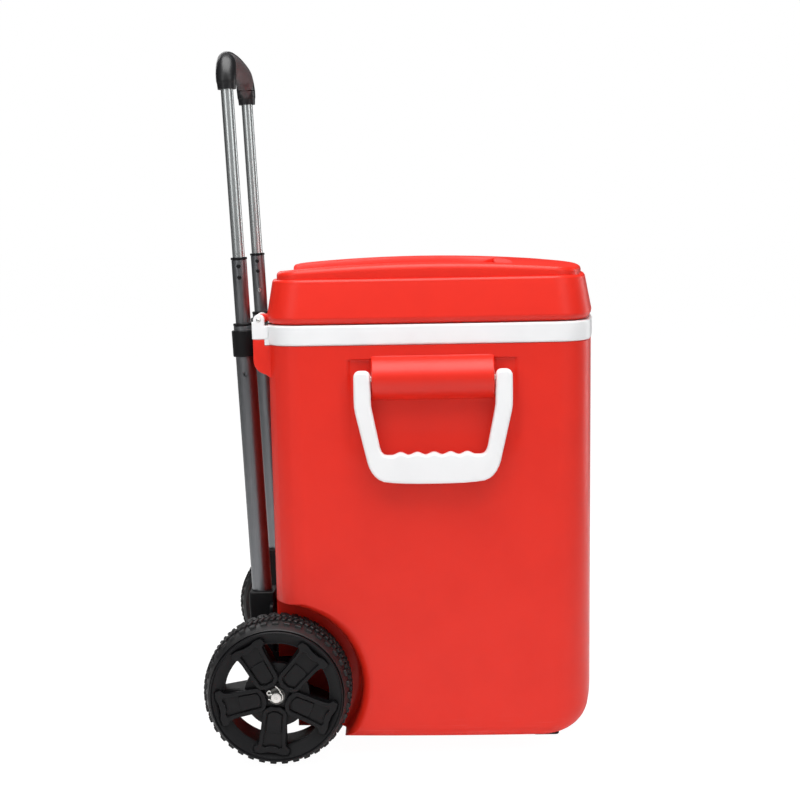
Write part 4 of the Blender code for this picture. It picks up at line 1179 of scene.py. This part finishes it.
@dataclass
class Wheels:
    """Two five-spoked wheels with lugged tyres, on a through axle held by hairpin clips."""

    face: float = 0.250
    width: float = 0.076
    spokes: int = 5
    first_spoke: float = 132.4
    window_inner: float = 0.0400
    window_outer: float = 0.0640
    window_drill: Flat = (0.10, 0.30)
    lugs: int = 39

    def build(self) -> None:
        """Models and dresses both wheels, the axle and what holds them on it."""
        disc = self.disc()
        tyre = self.tyre()
        mirror = Matrix.Scale(-1, 4, Axis.X.along)
        for side in Side:
            turn = mirror if side is Side.LEFT else Matrix.Identity(4)
            body = f"road_wheel_{side.label}"
            wheel, label = disc.copied(turn), side.label
            wheel.handed_over(f"wheel_disc_{label}", body, Slot.BLACK, f"wheel_{label}")
            tread = tyre.copied(turn)
            tread.handed_over(f"lugged_tyre_{label}", body, Slot.TREAD, f"tyre_{label}")
            self.build_end(side)
        disc.scrapped()
        tyre.scrapped()
        self.build_axle()

    def polar(self, radius: float, aside: float, turn: float) -> Flat:
        """The (y, z) place of a point at a radius along a spoke and a distance aside of it."""
        cos, sin = math.cos(turn), math.sin(turn)
        return (AXLE[0] + radius * cos - aside * sin, AXLE[1] + radius * sin + aside * cos)

    def fishtail(self, half: Sequence[Flat], turn: float) -> list[Flat]:
        """An outline symmetrical about a spoke, from its (radius, aside) half."""
        both = list(half) + [(radius, -aside) for radius, aside in reversed(half)]
        return [self.polar(radius, aside, turn) for radius, aside in both]

    def spoke(self, turn: float) -> list[Piece]:
        """One spoke: a body with a flared, notched foot, a raised border round it and a pad near the hub."""
        foot = [(0.0130, 0.0050), (0.0170, 0.0125), (0.0220, 0.0150), (0.0550, 0.0160), (0.0615, 0.0172)]
        foot += [(0.0655, 0.0225), (0.0725, 0.0212), (0.0735, 0.0130), (0.0712, 0.0050)]
        inside = [(0.0185, 0.0045), (0.0215, 0.0098), (0.0550, 0.0112), (0.0640, 0.0122)]
        inside += [(0.0655, 0.0085), (0.0632, 0.0040)]
        pad = [(0.0200, 0.0030), (0.0235, 0.0088), (0.0455, 0.0094), (0.0465, 0.0040)]
        web = [(0.0110, 0.0090), (0.0714, 0.0110)]
        face = self.face
        body = Piece.plate([self.fishtail(foot, turn)], face - 0.020, face - 0.0070, Axis.X, 0.0012)
        border = Piece.plate(
            [self.fishtail(foot, turn), self.fishtail(inside, turn)],
            face - 0.012, face - 0.0030, Axis.X, 0.0011,
        )
        raised = Piece.plate([self.fishtail(pad, turn)], face - 0.012, face - 0.0052, Axis.X, 0.0009)
        rib = Piece.plate([self.fishtail(web, turn)], face - 0.066, face - 0.0150, Axis.X)
        return [body, border, raised, rib]

    def window(self, turn: float) -> Piece:
        """One opening between two spokes, as a tool."""
        half_gap = math.pi / self.spokes
        inner, outer = self.window_inner, self.window_outer
        inner_half = half_gap - math.asin(0.0150 / inner)
        outer_half = half_gap - math.asin(0.0180 / outer)
        rim = [self.polar(outer, 0, turn + a) for a in spread(-outer_half, outer_half, 13)]
        hub = [self.polar(inner, 0, turn + a) for a in spread(inner_half, -inner_half, 5)]
        return Piece.plate([rim + hub], *self.window_drill, Axis.X)

    def disc(self) -> Piece:
        """The wheel's disc and barrel."""
        face, back = self.face, self.face - self.width
        profile = [(0.0078, back + 0.004), (0.0125, back + 0.004), (0.0135, face - 0.021)]
        profile += [(0.040, face - 0.020), (0.0640, face - 0.018), (0.0705, face - 0.020)]
        profile += [(0.0712, face - 0.024), (0.0712, back + 0.004)]
        profile += [(0.0750, back + 0.003), (0.0750, face - 0.0093), (0.0800, face - 0.0093)]
        profile += [(0.0812, face - 0.0080), (0.0813, face - 0.0012), (0.0806, face - 0.0002)]
        profile += [(0.0795, face - 0.0003), (0.0785, face - 0.0030), (0.0700, face - 0.0082)]
        profile += [(0.0660, face - 0.0108), (0.0645, face - 0.0116), (0.0400, face - 0.0112)]
        profile += [(0.0200, face - 0.0095), (0.0168, face - 0.0090), (0.0160, face - 0.0076)]
        profile += [(0.0140, face - 0.0072), (0.0128, face - 0.0066), (0.0078, face - 0.0066)]
        disc = Piece.turned(profile, Axis.X, (0, *AXLE), 120)
        first = math.radians(self.first_spoke)
        step = math.tau / self.spokes
        disc.cut(*[self.window(first + step * (index + 0.5)) for index in range(self.spokes)])
        spokes = [part for index in range(self.spokes) for part in self.spoke(first + step * index)]
        return disc.gathered(spokes)

    def lug(self, size: Sequence[float], depth: float, top: float, turn: float, skew: float = 0.0) -> Piece:
        """One block of the tread.

        Args:
            size: its width along the axle, length round the tyre and height.
            depth: how far behind the wheel's face its middle lies.
            top: the radius of its outer face.
            turn: where it is round the wheel, in radians.
            skew: how it is slewed, in radians.

        Returns:
            The block.
        """
        half = [s / 2 for s in size]
        block = Piece.block([-h for h in half], half)
        block.modified("BEVEL", width=0.0007, segments=1)
        block.placed(Matrix.Rotation(skew, 4, "Z"))
        block.placed(Matrix.Translation((self.face - depth, 0, top - half[2])))
        block.placed(Matrix.Rotation(turn, 4, "X"))
        return block.placed(Matrix.Translation((0, *AXLE)))

    def tyre(self) -> Piece:
        """The tyre: a smooth sidewall, square shoulder lugs and two staggered rows of tread blocks."""
        face, back = self.face, self.face - self.width
        profile = [(0.0753, back + 0.001), (0.0800, back), (0.0842, back + 0.004), (0.0868, face - 0.062)]
        profile += [(0.0888, face - 0.050), (0.0893, face - 0.040), (0.0884, face - 0.029)]
        profile += [(0.0871, face - 0.0165), (0.0858, face - 0.0120), (0.0836, face - 0.0060)]
        profile += [(0.0824, face - 0.0048), (0.0816, face - 0.0060)]
        profile += [(0.0815, face - 0.0097), (0.0753, face - 0.0097)]
        carcass = Piece.turned(profile, Axis.X, (0, *AXLE), 156)
        step = math.tau / self.lugs
        first = [
            self.lug((0.0080, 0.0078, 0.0050), 0.0180, 0.0893, 0.0),
            self.lug((0.0085, 0.0078, 0.0050), 0.0605, 0.0886, step * 0.5),
        ]
        for turn in (step * 0.25, step * 0.75):
            first.append(self.lug((0.0125, 0.0046, 0.0050), 0.0310, 0.0911, turn, 0.30))
            first.append(self.lug((0.0125, 0.0046, 0.0050), 0.0460, 0.0911, turn + step * 0.25, -0.30))
        row = first[0].gathered(first[1:])
        to_axle = Matrix.Translation((0, *AXLE))
        copies = []
        for place in range(1, self.lugs):
            turn = to_axle @ Matrix.Rotation(step * place, 4, "X") @ to_axle.inverted()
            copies.append(row.copied(turn))
        row.gathered(copies)
        return carcass.joined(row)

    def build_axle(self) -> None:
        """The through axle, with chamfered ends."""
        low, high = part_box("axle")
        radius, reach = (high.z - low.z) / 2, high.x
        profile = [(0.0, -reach), (0.0012, -reach), (0.0014, -reach + 0.0004), (0.0018, -reach)]
        profile += [(radius - 0.0010, -reach), (radius - 0.0003, -reach + 0.0003), (radius, -reach + 0.0010)]
        profile += [(r, -x) for r, x in reversed(profile)]
        axle = Piece.turned(profile, Axis.X, (0, *AXLE), 64)
        axle.handed_over("through_axle", "root", Slot.STEEL, "axle")

    def build_end(self, side: Side) -> None:
        """The washer and the hairpin clip on one end of the axle."""
        low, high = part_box(f"washer_{side.label}")
        outer = (high.z - low.z) / 2
        edge = 0.0003
        profile = [(AXLE_HOLE, low.x), (outer - edge, low.x), (outer, low.x + edge), (outer, high.x - edge)]
        profile += [(outer - edge, high.x), (AXLE_HOLE, high.x)]
        washer = Piece.turned(profile, Axis.X, (0, *AXLE), 64)
        name = f"axle_washer_{side.label}"
        washer.handed_over(name, "root", Slot.STEEL, f"washer_{side.label}", finish=DULL_STEEL)
        wire = 0.0010
        bent = [(-0.0008, 0.0138), (0.0018, 0.0112), (0.0046, 0.0078)]
        bent += arc((0.0, 0.0), 0.0077, 48, -28, 6) + [(0.0052, -0.0046), (0.0, -0.0046), (-0.0060, -0.0040)]
        bent += [(-0.0098, -0.0024)]
        loop = [(0.0, 0.0030), (-0.0050, 0.0032), (-0.0066, 0.0034)]
        loop += arc((-0.0086, 0.0052), 0.0024, -40, -330, 9)
        place = Matrix.Translation((side.value * (self.face - 0.0015), *AXLE))
        legs = []
        for route in (bent, loop):
            points = [place @ Vector((0, -a, b)) for a, b in route]
            legs.append(Piece.swept(points, [wire * 0.85] * len(points), 4))
        clip = legs[0].gathered(legs[1:])
        name = f"hairpin_clip_{side.label}"
        clip.handed_over(name, "root", Slot.STEEL, f"r_clip_{side.label}", sharp=60)


# ---------------------------------------------------------------- pull handle


@dataclass
class PullHandle:
    """The telescopic handle: three stages of tube, their collars and rivets, the grip and what holds them."""

    lean: float = math.radians(2.3)
    base_y: float = 0.176
    tube_x: float = 0.1213
    outer: Flat = (0.0125, 0.0112)
    middle: Flat = (0.0095, 0.0086)
    inner: Flat = (0.0077, 0.0067)
    outer_ends: Flat = (0.112, 0.5357)
    middle_ends: Flat = (0.290, 0.6184)
    inner_ends: Flat = (0.540, 0.853)
    outer_hole: float = 0.4750
    middle_hole: float = 0.5697
    lock_hole: float = 0.0032
    drill_depth: float = 0.03
    rivets_below: Flat = (0.011, 0.025)
    ring: float = 0.0033
    slip: float = 0.0003
    bracket_screw_x: float = 0.055
    foot_screws: Flat = (-0.026, 0.026)
    grip_bottom: float = 0.829
    grip_bar: float = 0.8668
    grip_bend: float = 0.030

    def build(self) -> None:
        """Models and dresses every piece of the pull handle."""
        self.axis = Matrix.Translation((0, self.base_y, 0)) @ Matrix.Rotation(-self.lean, 4, "X")
        for side in Side:
            self.build_tubes(side)
            self.build_collars(side)
            self.build_rivets(side)
            self.build_foot(side)
        self.build_grip()
        self.build_button()
        self.build_bracket()

    def on_tube(self, profile: Sequence[Flat], side: Side) -> Piece:
        """A profile turned round the axis of one of the two tubes."""
        return Piece.turned(profile, Axis.Z, (side.value * self.tube_x, 0, 0)).placed(self.axis)

    def bore(self, radius: float, low: float, high: float, side: Side) -> Piece:
        """A drill on the axis of one of the two tubes."""
        return self.on_tube([(0.0, low), (radius, low), (radius, high), (0.0, high)], side)

    def build_tubes(self, side: Side) -> None:
        """The three stages on one side, with their lock holes."""
        stages = (
            ("outer_tube", "root", self.outer, self.outer_ends, Slot.GUNMETAL, (side.value, self.outer_hole)),
            ("middle_tube", "handle_middle", self.middle, self.middle_ends, Slot.GUNMETAL,
             (-side.value, self.middle_hole)),
            ("inner_tube", "handle_top", self.inner, self.inner_ends, Slot.BRIGHT, None),
        )
        for node, body, (radius, bore), (low, high), slot, hole in stages:
            edge = 0.0003
            profile = [(bore, low), (radius - edge, low), (radius, low + edge), (radius, high - edge)]
            profile += [(radius - edge, high), (bore, high)]
            tube = self.on_tube(profile, side)
            if hole:
                facing, height = hole
                place = (side.value * self.tube_x, 0, height)
                drill = Piece.rod(self.lock_hole, 0.0, facing * self.drill_depth, Axis.X, place, 32)
                tube.cut(drill.placed(self.axis))
            name = f"{node}_{side.label}"
            tube.handed_over(f"{name}_drawn", body, slot, name)

    def build_collars(self, side: Side) -> None:
        """The black collars in the tops of the outer and the middle tube, each with a rounded rim."""
        stages = (
            ("outer_collar", "root", self.outer, self.middle[0], self.outer_ends[1], 0.0004, 0.020),
            ("middle_collar", "handle_middle", self.middle, self.inner[0], self.middle_ends[1], 0.0008,
             0.032),
        )
        for node, body, (radius, bore), inside, high, proud, deep in stages:
            low, top, outside, edge = high + 0.0003, high + self.ring, radius + proud, 0.0009
            profile = [(inside + 0.0002, high - deep), (bore - 0.0002, high - deep), (bore - 0.0002, low)]
            profile += [(outside - 0.0002, low), (outside, low + 0.0003)]
            profile += arc((outside - edge, top - edge), edge, 0, 90, 4) + [(inside + 0.0006, top)]
            profile += [(inside + 0.0002, top - 0.0004)]
            name = f"{node}_{side.label}"
            collar = self.on_tube(profile, side)
            collar.handed_over(f"{name}_ring", body, Slot.BLACK, name)

    def build_rivets(self, side: Side) -> None:
        """The two rivets through a middle tube, each with a domed head on either side."""
        wall = self.middle[0]
        for index, below in enumerate(self.rivets_below):
            height = self.middle_ends[1] + self.ring - below
            profile = [(0.0, wall - 0.0008), (0.0015, wall - 0.0008), (0.0015, wall + 0.0002)]
            profile += [(0.0027, wall + 0.0002), (0.0027, wall + 0.0004), (0.0024, wall + 0.0008)]
            profile += [(0.0018, wall + 0.0011), (0.0010, wall + 0.00125), (0.0007, wall + 0.0009)]
            profile += [(0.0, wall + 0.0009)]
            heads = []
            for facing in (side.value, -side.value):
                turned = [(radius, facing * reach) for radius, reach in profile]
                heads.append(Piece.turned(turned, Axis.X, (side.value * self.tube_x, 0, height), 32))
            rivet = heads[0].gathered(heads[1:]).placed(self.axis)
            name = f"rivet_{side.label}_{index + 1}"
            rivet.handed_over(f"{name}_dome", "handle_middle", Slot.BLACK, name)

    def build_grip(self) -> None:
        """The U grip: tapered sockets with a seam, domed shoulders and a bar between them."""
        corner = self.tube_x - self.grip_bend
        left = [(-self.tube_x, self.grip_bottom), (-self.tube_x, self.grip_bottom + 0.007)]
        left += arc((-corner, self.grip_bar - self.grip_bend), self.grip_bend, 176, 90, 5)
        left += [(-corner + 0.020, self.grip_bar + 0.0012)]
        radii = [0.0114, 0.0119, 0.0126, 0.0129, 0.0126, 0.0121, 0.0118, 0.0117, 0.0118]
        route = left + [(-0.030, self.grip_bar + 0.0026)]
        radii.append(0.0118)
        route += [(-x, z) for x, z in reversed(route)]
        radii += list(reversed(radii))
        grip = Piece.swept([(x, 0, z) for x, z in route], radii[: len(route)], 10)
        grip.placed(self.axis)
        seam_height = self.grip_bottom + 0.0185
        for side in Side:
            seam = [(0.0116, seam_height), (0.0160, seam_height - 0.0008), (0.0160, seam_height + 0.0008)]
            socket_top = self.inner_ends[1] + 0.0003
            bore = self.inner[0] + 0.0002
            socket = [(0.0, 0.80), (bore + 0.0008, 0.80), (bore + 0.0008, self.grip_bottom + 0.0006)]
            socket += [(bore, self.grip_bottom + 0.0014), (bore, socket_top), (0.0, socket_top)]
            grip.cut(self.on_tube(seam, side), self.on_tube(socket, side))
        low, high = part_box("release_button")
        gap = Vector((0.0004, 0.0006, 0.0))
        grip.cut(Piece.block(low - gap - Vector((0, 0, 0.003)), high + gap + Vector((0, 0, 0.010))))
        skin = SoftTouchGrip("soft_grip", BLACK, (0.070, 0.062, 0.065), 0.36, self.grip_bar + 0.006)
        grip.handed_over("pull_grip", "handle_top", Slot.BLACK, "handle_grip", sharp=45, finish=skin.make())

    def build_button(self) -> None:
        """The release button, with three thumb ribs."""
        low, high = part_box("release_button")
        button = Piece.block(low, high - Vector((0, 0, 0.0006)))
        button.modified("BEVEL", width=0.0014, segments=4)
        middle = (low + high) / 2
        for offset in (-0.006, 0.0, 0.006):
            x = middle.x + offset
            front = (x - 0.0010, low.y + 0.0016, high.z - 0.003)
            rib = Piece.block(front, (x + 0.0010, high.y - 0.0016, high.z))
            button.joined(rib.modified("BEVEL", width=0.0005, segments=2))
        button.handed_over("thumb_button", "grip_button", Slot.BLACK, "release_button")

    def build_bracket(self) -> None:
        """The upper bracket: a ribbed beam with a collar round each outer tube, held by two screws."""
        low, high = 0.4969, 0.5304
        half = self.tube_x - 0.002
        beam = Piece.block((-half, -0.0235, low + 0.001), (half, 0.0055, high - 0.001))
        beam.modified("BEVEL", width=0.002, segments=3)
        for start, end in ((-0.100, -0.064), (-0.046, 0.046), (0.064, 0.100)):
            pocket = Piece.block((start, -0.012, low + 0.005), (end, 0.03, high - 0.005))
            beam.cut(pocket.modified("BEVEL", width=0.002, segments=3))
        beam.placed(self.axis)
        for side in Side:
            edge, radius = 0.0016, 0.0155
            profile = [(0.0, low), (radius - edge, low)]
            profile += arc((radius - edge, low + edge), edge, -90, 0, 4)
            profile += arc((radius - edge, high - edge), edge, 0, 90, 4) + [(0.0, high)]
            beam.joined(self.on_tube(profile, side))
            beam.cut(self.bore(self.outer[0] + self.slip, 0.40, 0.60, side))
            place = (side.value * self.bracket_screw_x, 0, (low + high) / 2)
            beam.cut(Piece.rod(SCREW_HOLE, 0.15, 0.25, Axis.Y, place))
        beam.handed_over("upper_bracket_moulding", "root", Slot.BLACK, "upper_bracket")

    def build_foot(self, side: Side) -> None:
        """The moulding at a tube's foot, which also holds the axle."""
        x, half = side.value * self.tube_x, 0.018
        outline = [(0.1400, 0.0775), (0.1700, 0.0775)] + arc((0.1750, 0.0965), 0.0190, -75, -5, 6)
        outline += [(0.1990, 0.1750)] + arc((0.1960, 0.1920), 0.0030, 0, 90, 3)
        outline += [(0.1672, 0.195), (0.1672, 0.1165), (0.1400, 0.1165)]
        foot = Piece.plate([outline], x - half, x + half, Axis.X, 0.0025)
        flange = Piece.block((x - 0.034, 0.1672, 0.128), (x + 0.034, 0.1717, 0.182))
        flange.bevelled(runs_along("y", 0.003), 0.006, 5)
        foot.joined(flange.modified("BEVEL", width=0.0008, segments=2, limit_method="ANGLE", angle_limit=1.2))
        socket = self.bore(self.outer[0] + self.slip, self.outer_ends[0] - self.slip, 0.25, side)
        foot.cut(socket, Piece.rod(AXLE_HOLE, -DRILL_REACH, DRILL_REACH, Axis.X, (0, *AXLE), 32))
        for offset in self.foot_screws:
            foot.cut(Piece.rod(SCREW_HOLE, 0.14, 0.25, Axis.Y, (x + offset, 0, 0.155)))
        node = f"axle_bracket_{side.label}"
        foot.handed_over(f"{node}_moulding", "root", Slot.BLACK, node)


# ---------------------------------------------------------------- fasteners


@dataclass
class Fasteners:
    """The screws, with cross recesses, and the hinge pins, with domed ends."""

    head: float = 0.0045
    head_height: float = 0.0022
    shank: float = 0.0020

    def build(self) -> None:
        """Models one screw, copies it to every place, and makes the hinge pins."""
        for node in sorted(name for name in frame["nodes"] if "_screw" in name):
            low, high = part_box(node)
            downward = node.startswith("foot_screw")
            length = (high.z - low.z) if downward else (high.y - low.y)
            screw = self.screw(length - self.head_height)
            middle = (low + high) / 2
            if downward:
                place = Matrix.Translation((middle.x, middle.y, low.z + self.head_height))
                place = place @ Matrix.Rotation(math.pi, 4, "X")
            else:
                place = Matrix.Translation((middle.x, high.y - self.head_height, middle.z))
                place = place @ Matrix.Rotation(-math.pi / 2, 4, "X")
            screw.placed(place)
            screw.handed_over(f"{node}_cross", "root", Slot.STEEL, node)
        for side in Side:
            low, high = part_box(f"hinge_pin_{side.label}")
            radius = (high.z - low.z) / 2
            profile = [(0.0, low.x), (radius * 0.6, low.x + 0.0001), (radius, low.x + 0.0008)]
            profile += [(radius, high.x - 0.0008), (radius * 0.6, high.x - 0.0001), (0.0, high.x)]
            pin = Piece.turned(profile, Axis.X, (0, (low.y + high.y) / 2, (low.z + high.z) / 2), 32)
            name = f"hinge_pin_{side.label}"
            pin.handed_over(f"{name}_domed", "root", Slot.STEEL, name)

    def screw(self, length: float) -> Piece:
        """A pan-head screw that points down, with its seat at the origin.

        Args:
            length: how long its shank is.

        Returns:
            The screw.
        """
        top = self.head_height
        profile = [(0.0, top), (self.head * 0.5, top - 0.0002), (self.head * 0.85, top - 0.0008)]
        profile += [(self.head, top - 0.0015), (self.head, 0.0), (self.shank, 0.0)]
        profile += [(self.shank, -length + 0.001), (self.shank * 0.5, -length), (0.0, -length)]
        screw = Piece.turned(profile, Axis.Z, (0, 0, 0), 32)
        for turn in (0.0, math.pi / 2):
            slot = Piece.block((-0.0024, -0.0005, top - 0.0014), (0.0024, 0.0005, top + 0.001))
            screw.cut(slot.placed(Matrix.Rotation(turn, 4, "Z")))
        return screw


# ---------------------------------------------------------------- what stays from the frame


@dataclass
class FrameDress:
    """Finishes for the CAD nodes that stay as they are."""

    def build(self) -> None:
        """Gives each node that still shows the finish of its record slot."""
        for part in frame["record"]["subparts"]:
            node = frame["nodes"][part["node"]]
            if node.hide_render:
                continue
            node.data.materials.clear()
            node.data.materials.append(MATERIALS[Slot(part["material_slot"])])
            LOG.info("%s keeps its frame mesh", part["node"])


# ---------------------------------------------------------------- studio


@dataclass(frozen=True)
class Lamp:
    """A soft rectangular light: where it hangs, the point that it faces, its size, and its power in watts."""

    name: str
    place: tuple[float, float, float]
    target: tuple[float, float, float]
    size: Flat
    power: float

    def hang(self) -> None:
        """Adds the light to the scene."""
        data = bpy.data.lights.new(self.name, "AREA")
        data.shape = "RECTANGLE"
        data.size, data.size_y = self.size
        data.energy = self.power
        obj = bpy.data.objects.new(self.name, data)
        obj.location = self.place
        facing = Vector(self.target) - Vector(self.place)
        obj.rotation_euler = facing.to_track_quat("-Z", "Y").to_euler()
        bpy.context.scene.collection.objects.link(obj)


@dataclass
class Studio:
    """A pale floor, soft light from above and both sides, and the camera."""

    lamps: tuple[Lamp, ...] = (
        Lamp("overhead", (-0.5, 0.0, 2.1), (0.0, 0.0, 0.4), (1.8, 1.8), 56.0),
        Lamp("front_edge", (0.9, -1.6, 0.5), (0.1, -0.2, 0.3), (0.6, 1.3), 6.0),
        Lamp("left_box", (-1.9, 1.5, 1.3), (0.0, 0.0, 0.35), (0.8, 1.4), 6.0),
        Lamp("right_box", (-1.7, -1.7, 1.3), (0.0, 0.0, 0.35), (0.8, 1.4), 6.5),
        Lamp("back_box", (1.8, 0.9, 1.6), (0.0, 0.0, 0.4), (1.2, 1.2), 10.0),
    )
    floor_glow: float = 1.15
    floor_glow_share: float = 0.85
    glow_fades: Flat = (-0.7, 0.2)
    glow_ends: Flat = (0.36, 0.06)
    eye: tuple[float, float, float] = (-1.95, 0.0017, 0.6623)
    pitch: float = math.radians(7.02)
    roll: float = math.radians(1.0)
    lens: float = 65.25
    sensor: float = 36.0

    def build(self) -> None:
        """Sets up floor, light and camera."""
        self.build_floor()
        self.build_world()
        for lamp in self.lamps:
            lamp.hang()
        self.build_camera()
        bpy.context.scene.view_settings.view_transform = "Standard"

    def build_floor(self) -> None:
        """A wide pale floor."""
        Piece.clear_bench()
        bpy.ops.mesh.primitive_plane_add(size=60, location=(0, 0, 0))
        floor = bpy.context.object
        floor.name = "floor"
        shader = Shader("pale_floor")
        speckle = shader.blend(shader.noise(0.35, 2.0), (0.90, 0.90, 0.90), (0.92, 0.92, 0.92))
        floor.data.materials.append(shader.fed(Base_Color=speckle, Roughness=0.8))
        glow = shader.node("ShaderNodeEmission", None, {"Strength": self.floor_glow})
        seen = shader.node("ShaderNodeLightPath", output="Is Camera Ray")
        plain = Signal(shader, shader.surface.outputs[0])
        mixed = shader.node("ShaderNodeMixShader", None, {0: seen * self.floor_glow_share, 1: plain, 2: glow})
        shader.tree.links.new(mixed.socket, shader.tree.nodes["Material Output"].inputs["Surface"])

    def build_world(self) -> None:
        """White surroundings, which light the object dimly from behind and more from the front."""
        world = bpy.data.worlds.new("studio")
        world.use_nodes = True
        tree = world.node_tree
        seen = tree.nodes.new("ShaderNodeLightPath")
        place = tree.nodes.new("ShaderNodeTexCoord")
        split = tree.nodes.new("ShaderNodeSeparateXYZ")
        tree.links.new(place.outputs["Generated"], split.inputs[0])
        fade = tree.nodes.new("ShaderNodeMapRange")
        fade.inputs["From Min"].default_value, fade.inputs["From Max"].default_value = self.glow_fades
        fade.inputs["To Min"].default_value, fade.inputs["To Max"].default_value = self.glow_ends
        tree.links.new(split.outputs["X"], fade.inputs["Value"])
        strength = tree.nodes.new("ShaderNodeMapRange")
        strength.inputs["To Max"].default_value = 1.0
        tree.links.new(fade.outputs["Result"], strength.inputs["To Min"])
        tree.links.new(seen.outputs["Is Camera Ray"], strength.inputs["Value"])
        surround = tree.nodes["Background"]
        surround.inputs["Color"].default_value = (1, 1, 1, 1)
        tree.links.new(strength.outputs["Result"], surround.inputs["Strength"])
        bpy.context.scene.world = world

    def build_camera(self) -> None:
        """The camera: it looks along +X, a little down, and leans a little."""
        forward = Vector((math.cos(self.pitch), 0, -math.sin(self.pitch)))
        level_up = Vector((math.sin(self.pitch), 0, math.cos(self.pitch)))
        level_right = Vector((0, -1, 0))
        up = level_up * math.cos(self.roll) + level_right * math.sin(self.roll)
        right = level_right * math.cos(self.roll) - level_up * math.sin(self.roll)
        data = bpy.data.cameras.new("camera")
        data.lens = self.lens
        data.sensor_width = self.sensor
        camera = bpy.data.objects.new("camera", data)
        turn = Matrix((right, up, -forward)).transposed().to_4x4()
        camera.matrix_world = Matrix.Translation(self.eye) @ turn
        bpy.context.scene.collection.objects.link(camera)
        bpy.context.scene.camera = camera


# ---------------------------------------------------------------- everything


def main() -> None:
    """Builds the cooler in order."""
    logging.basicConfig(level=logging.INFO, format="%(message)s")
    for part in (Studio(), Tub(), Lid(), SwingHandles(), Wheels(), PullHandle(), Fasteners(), FrameDress()):
        LOG.info("== %s", type(part).__name__)
        part.build()


if __name__ == "__main__":
    main()
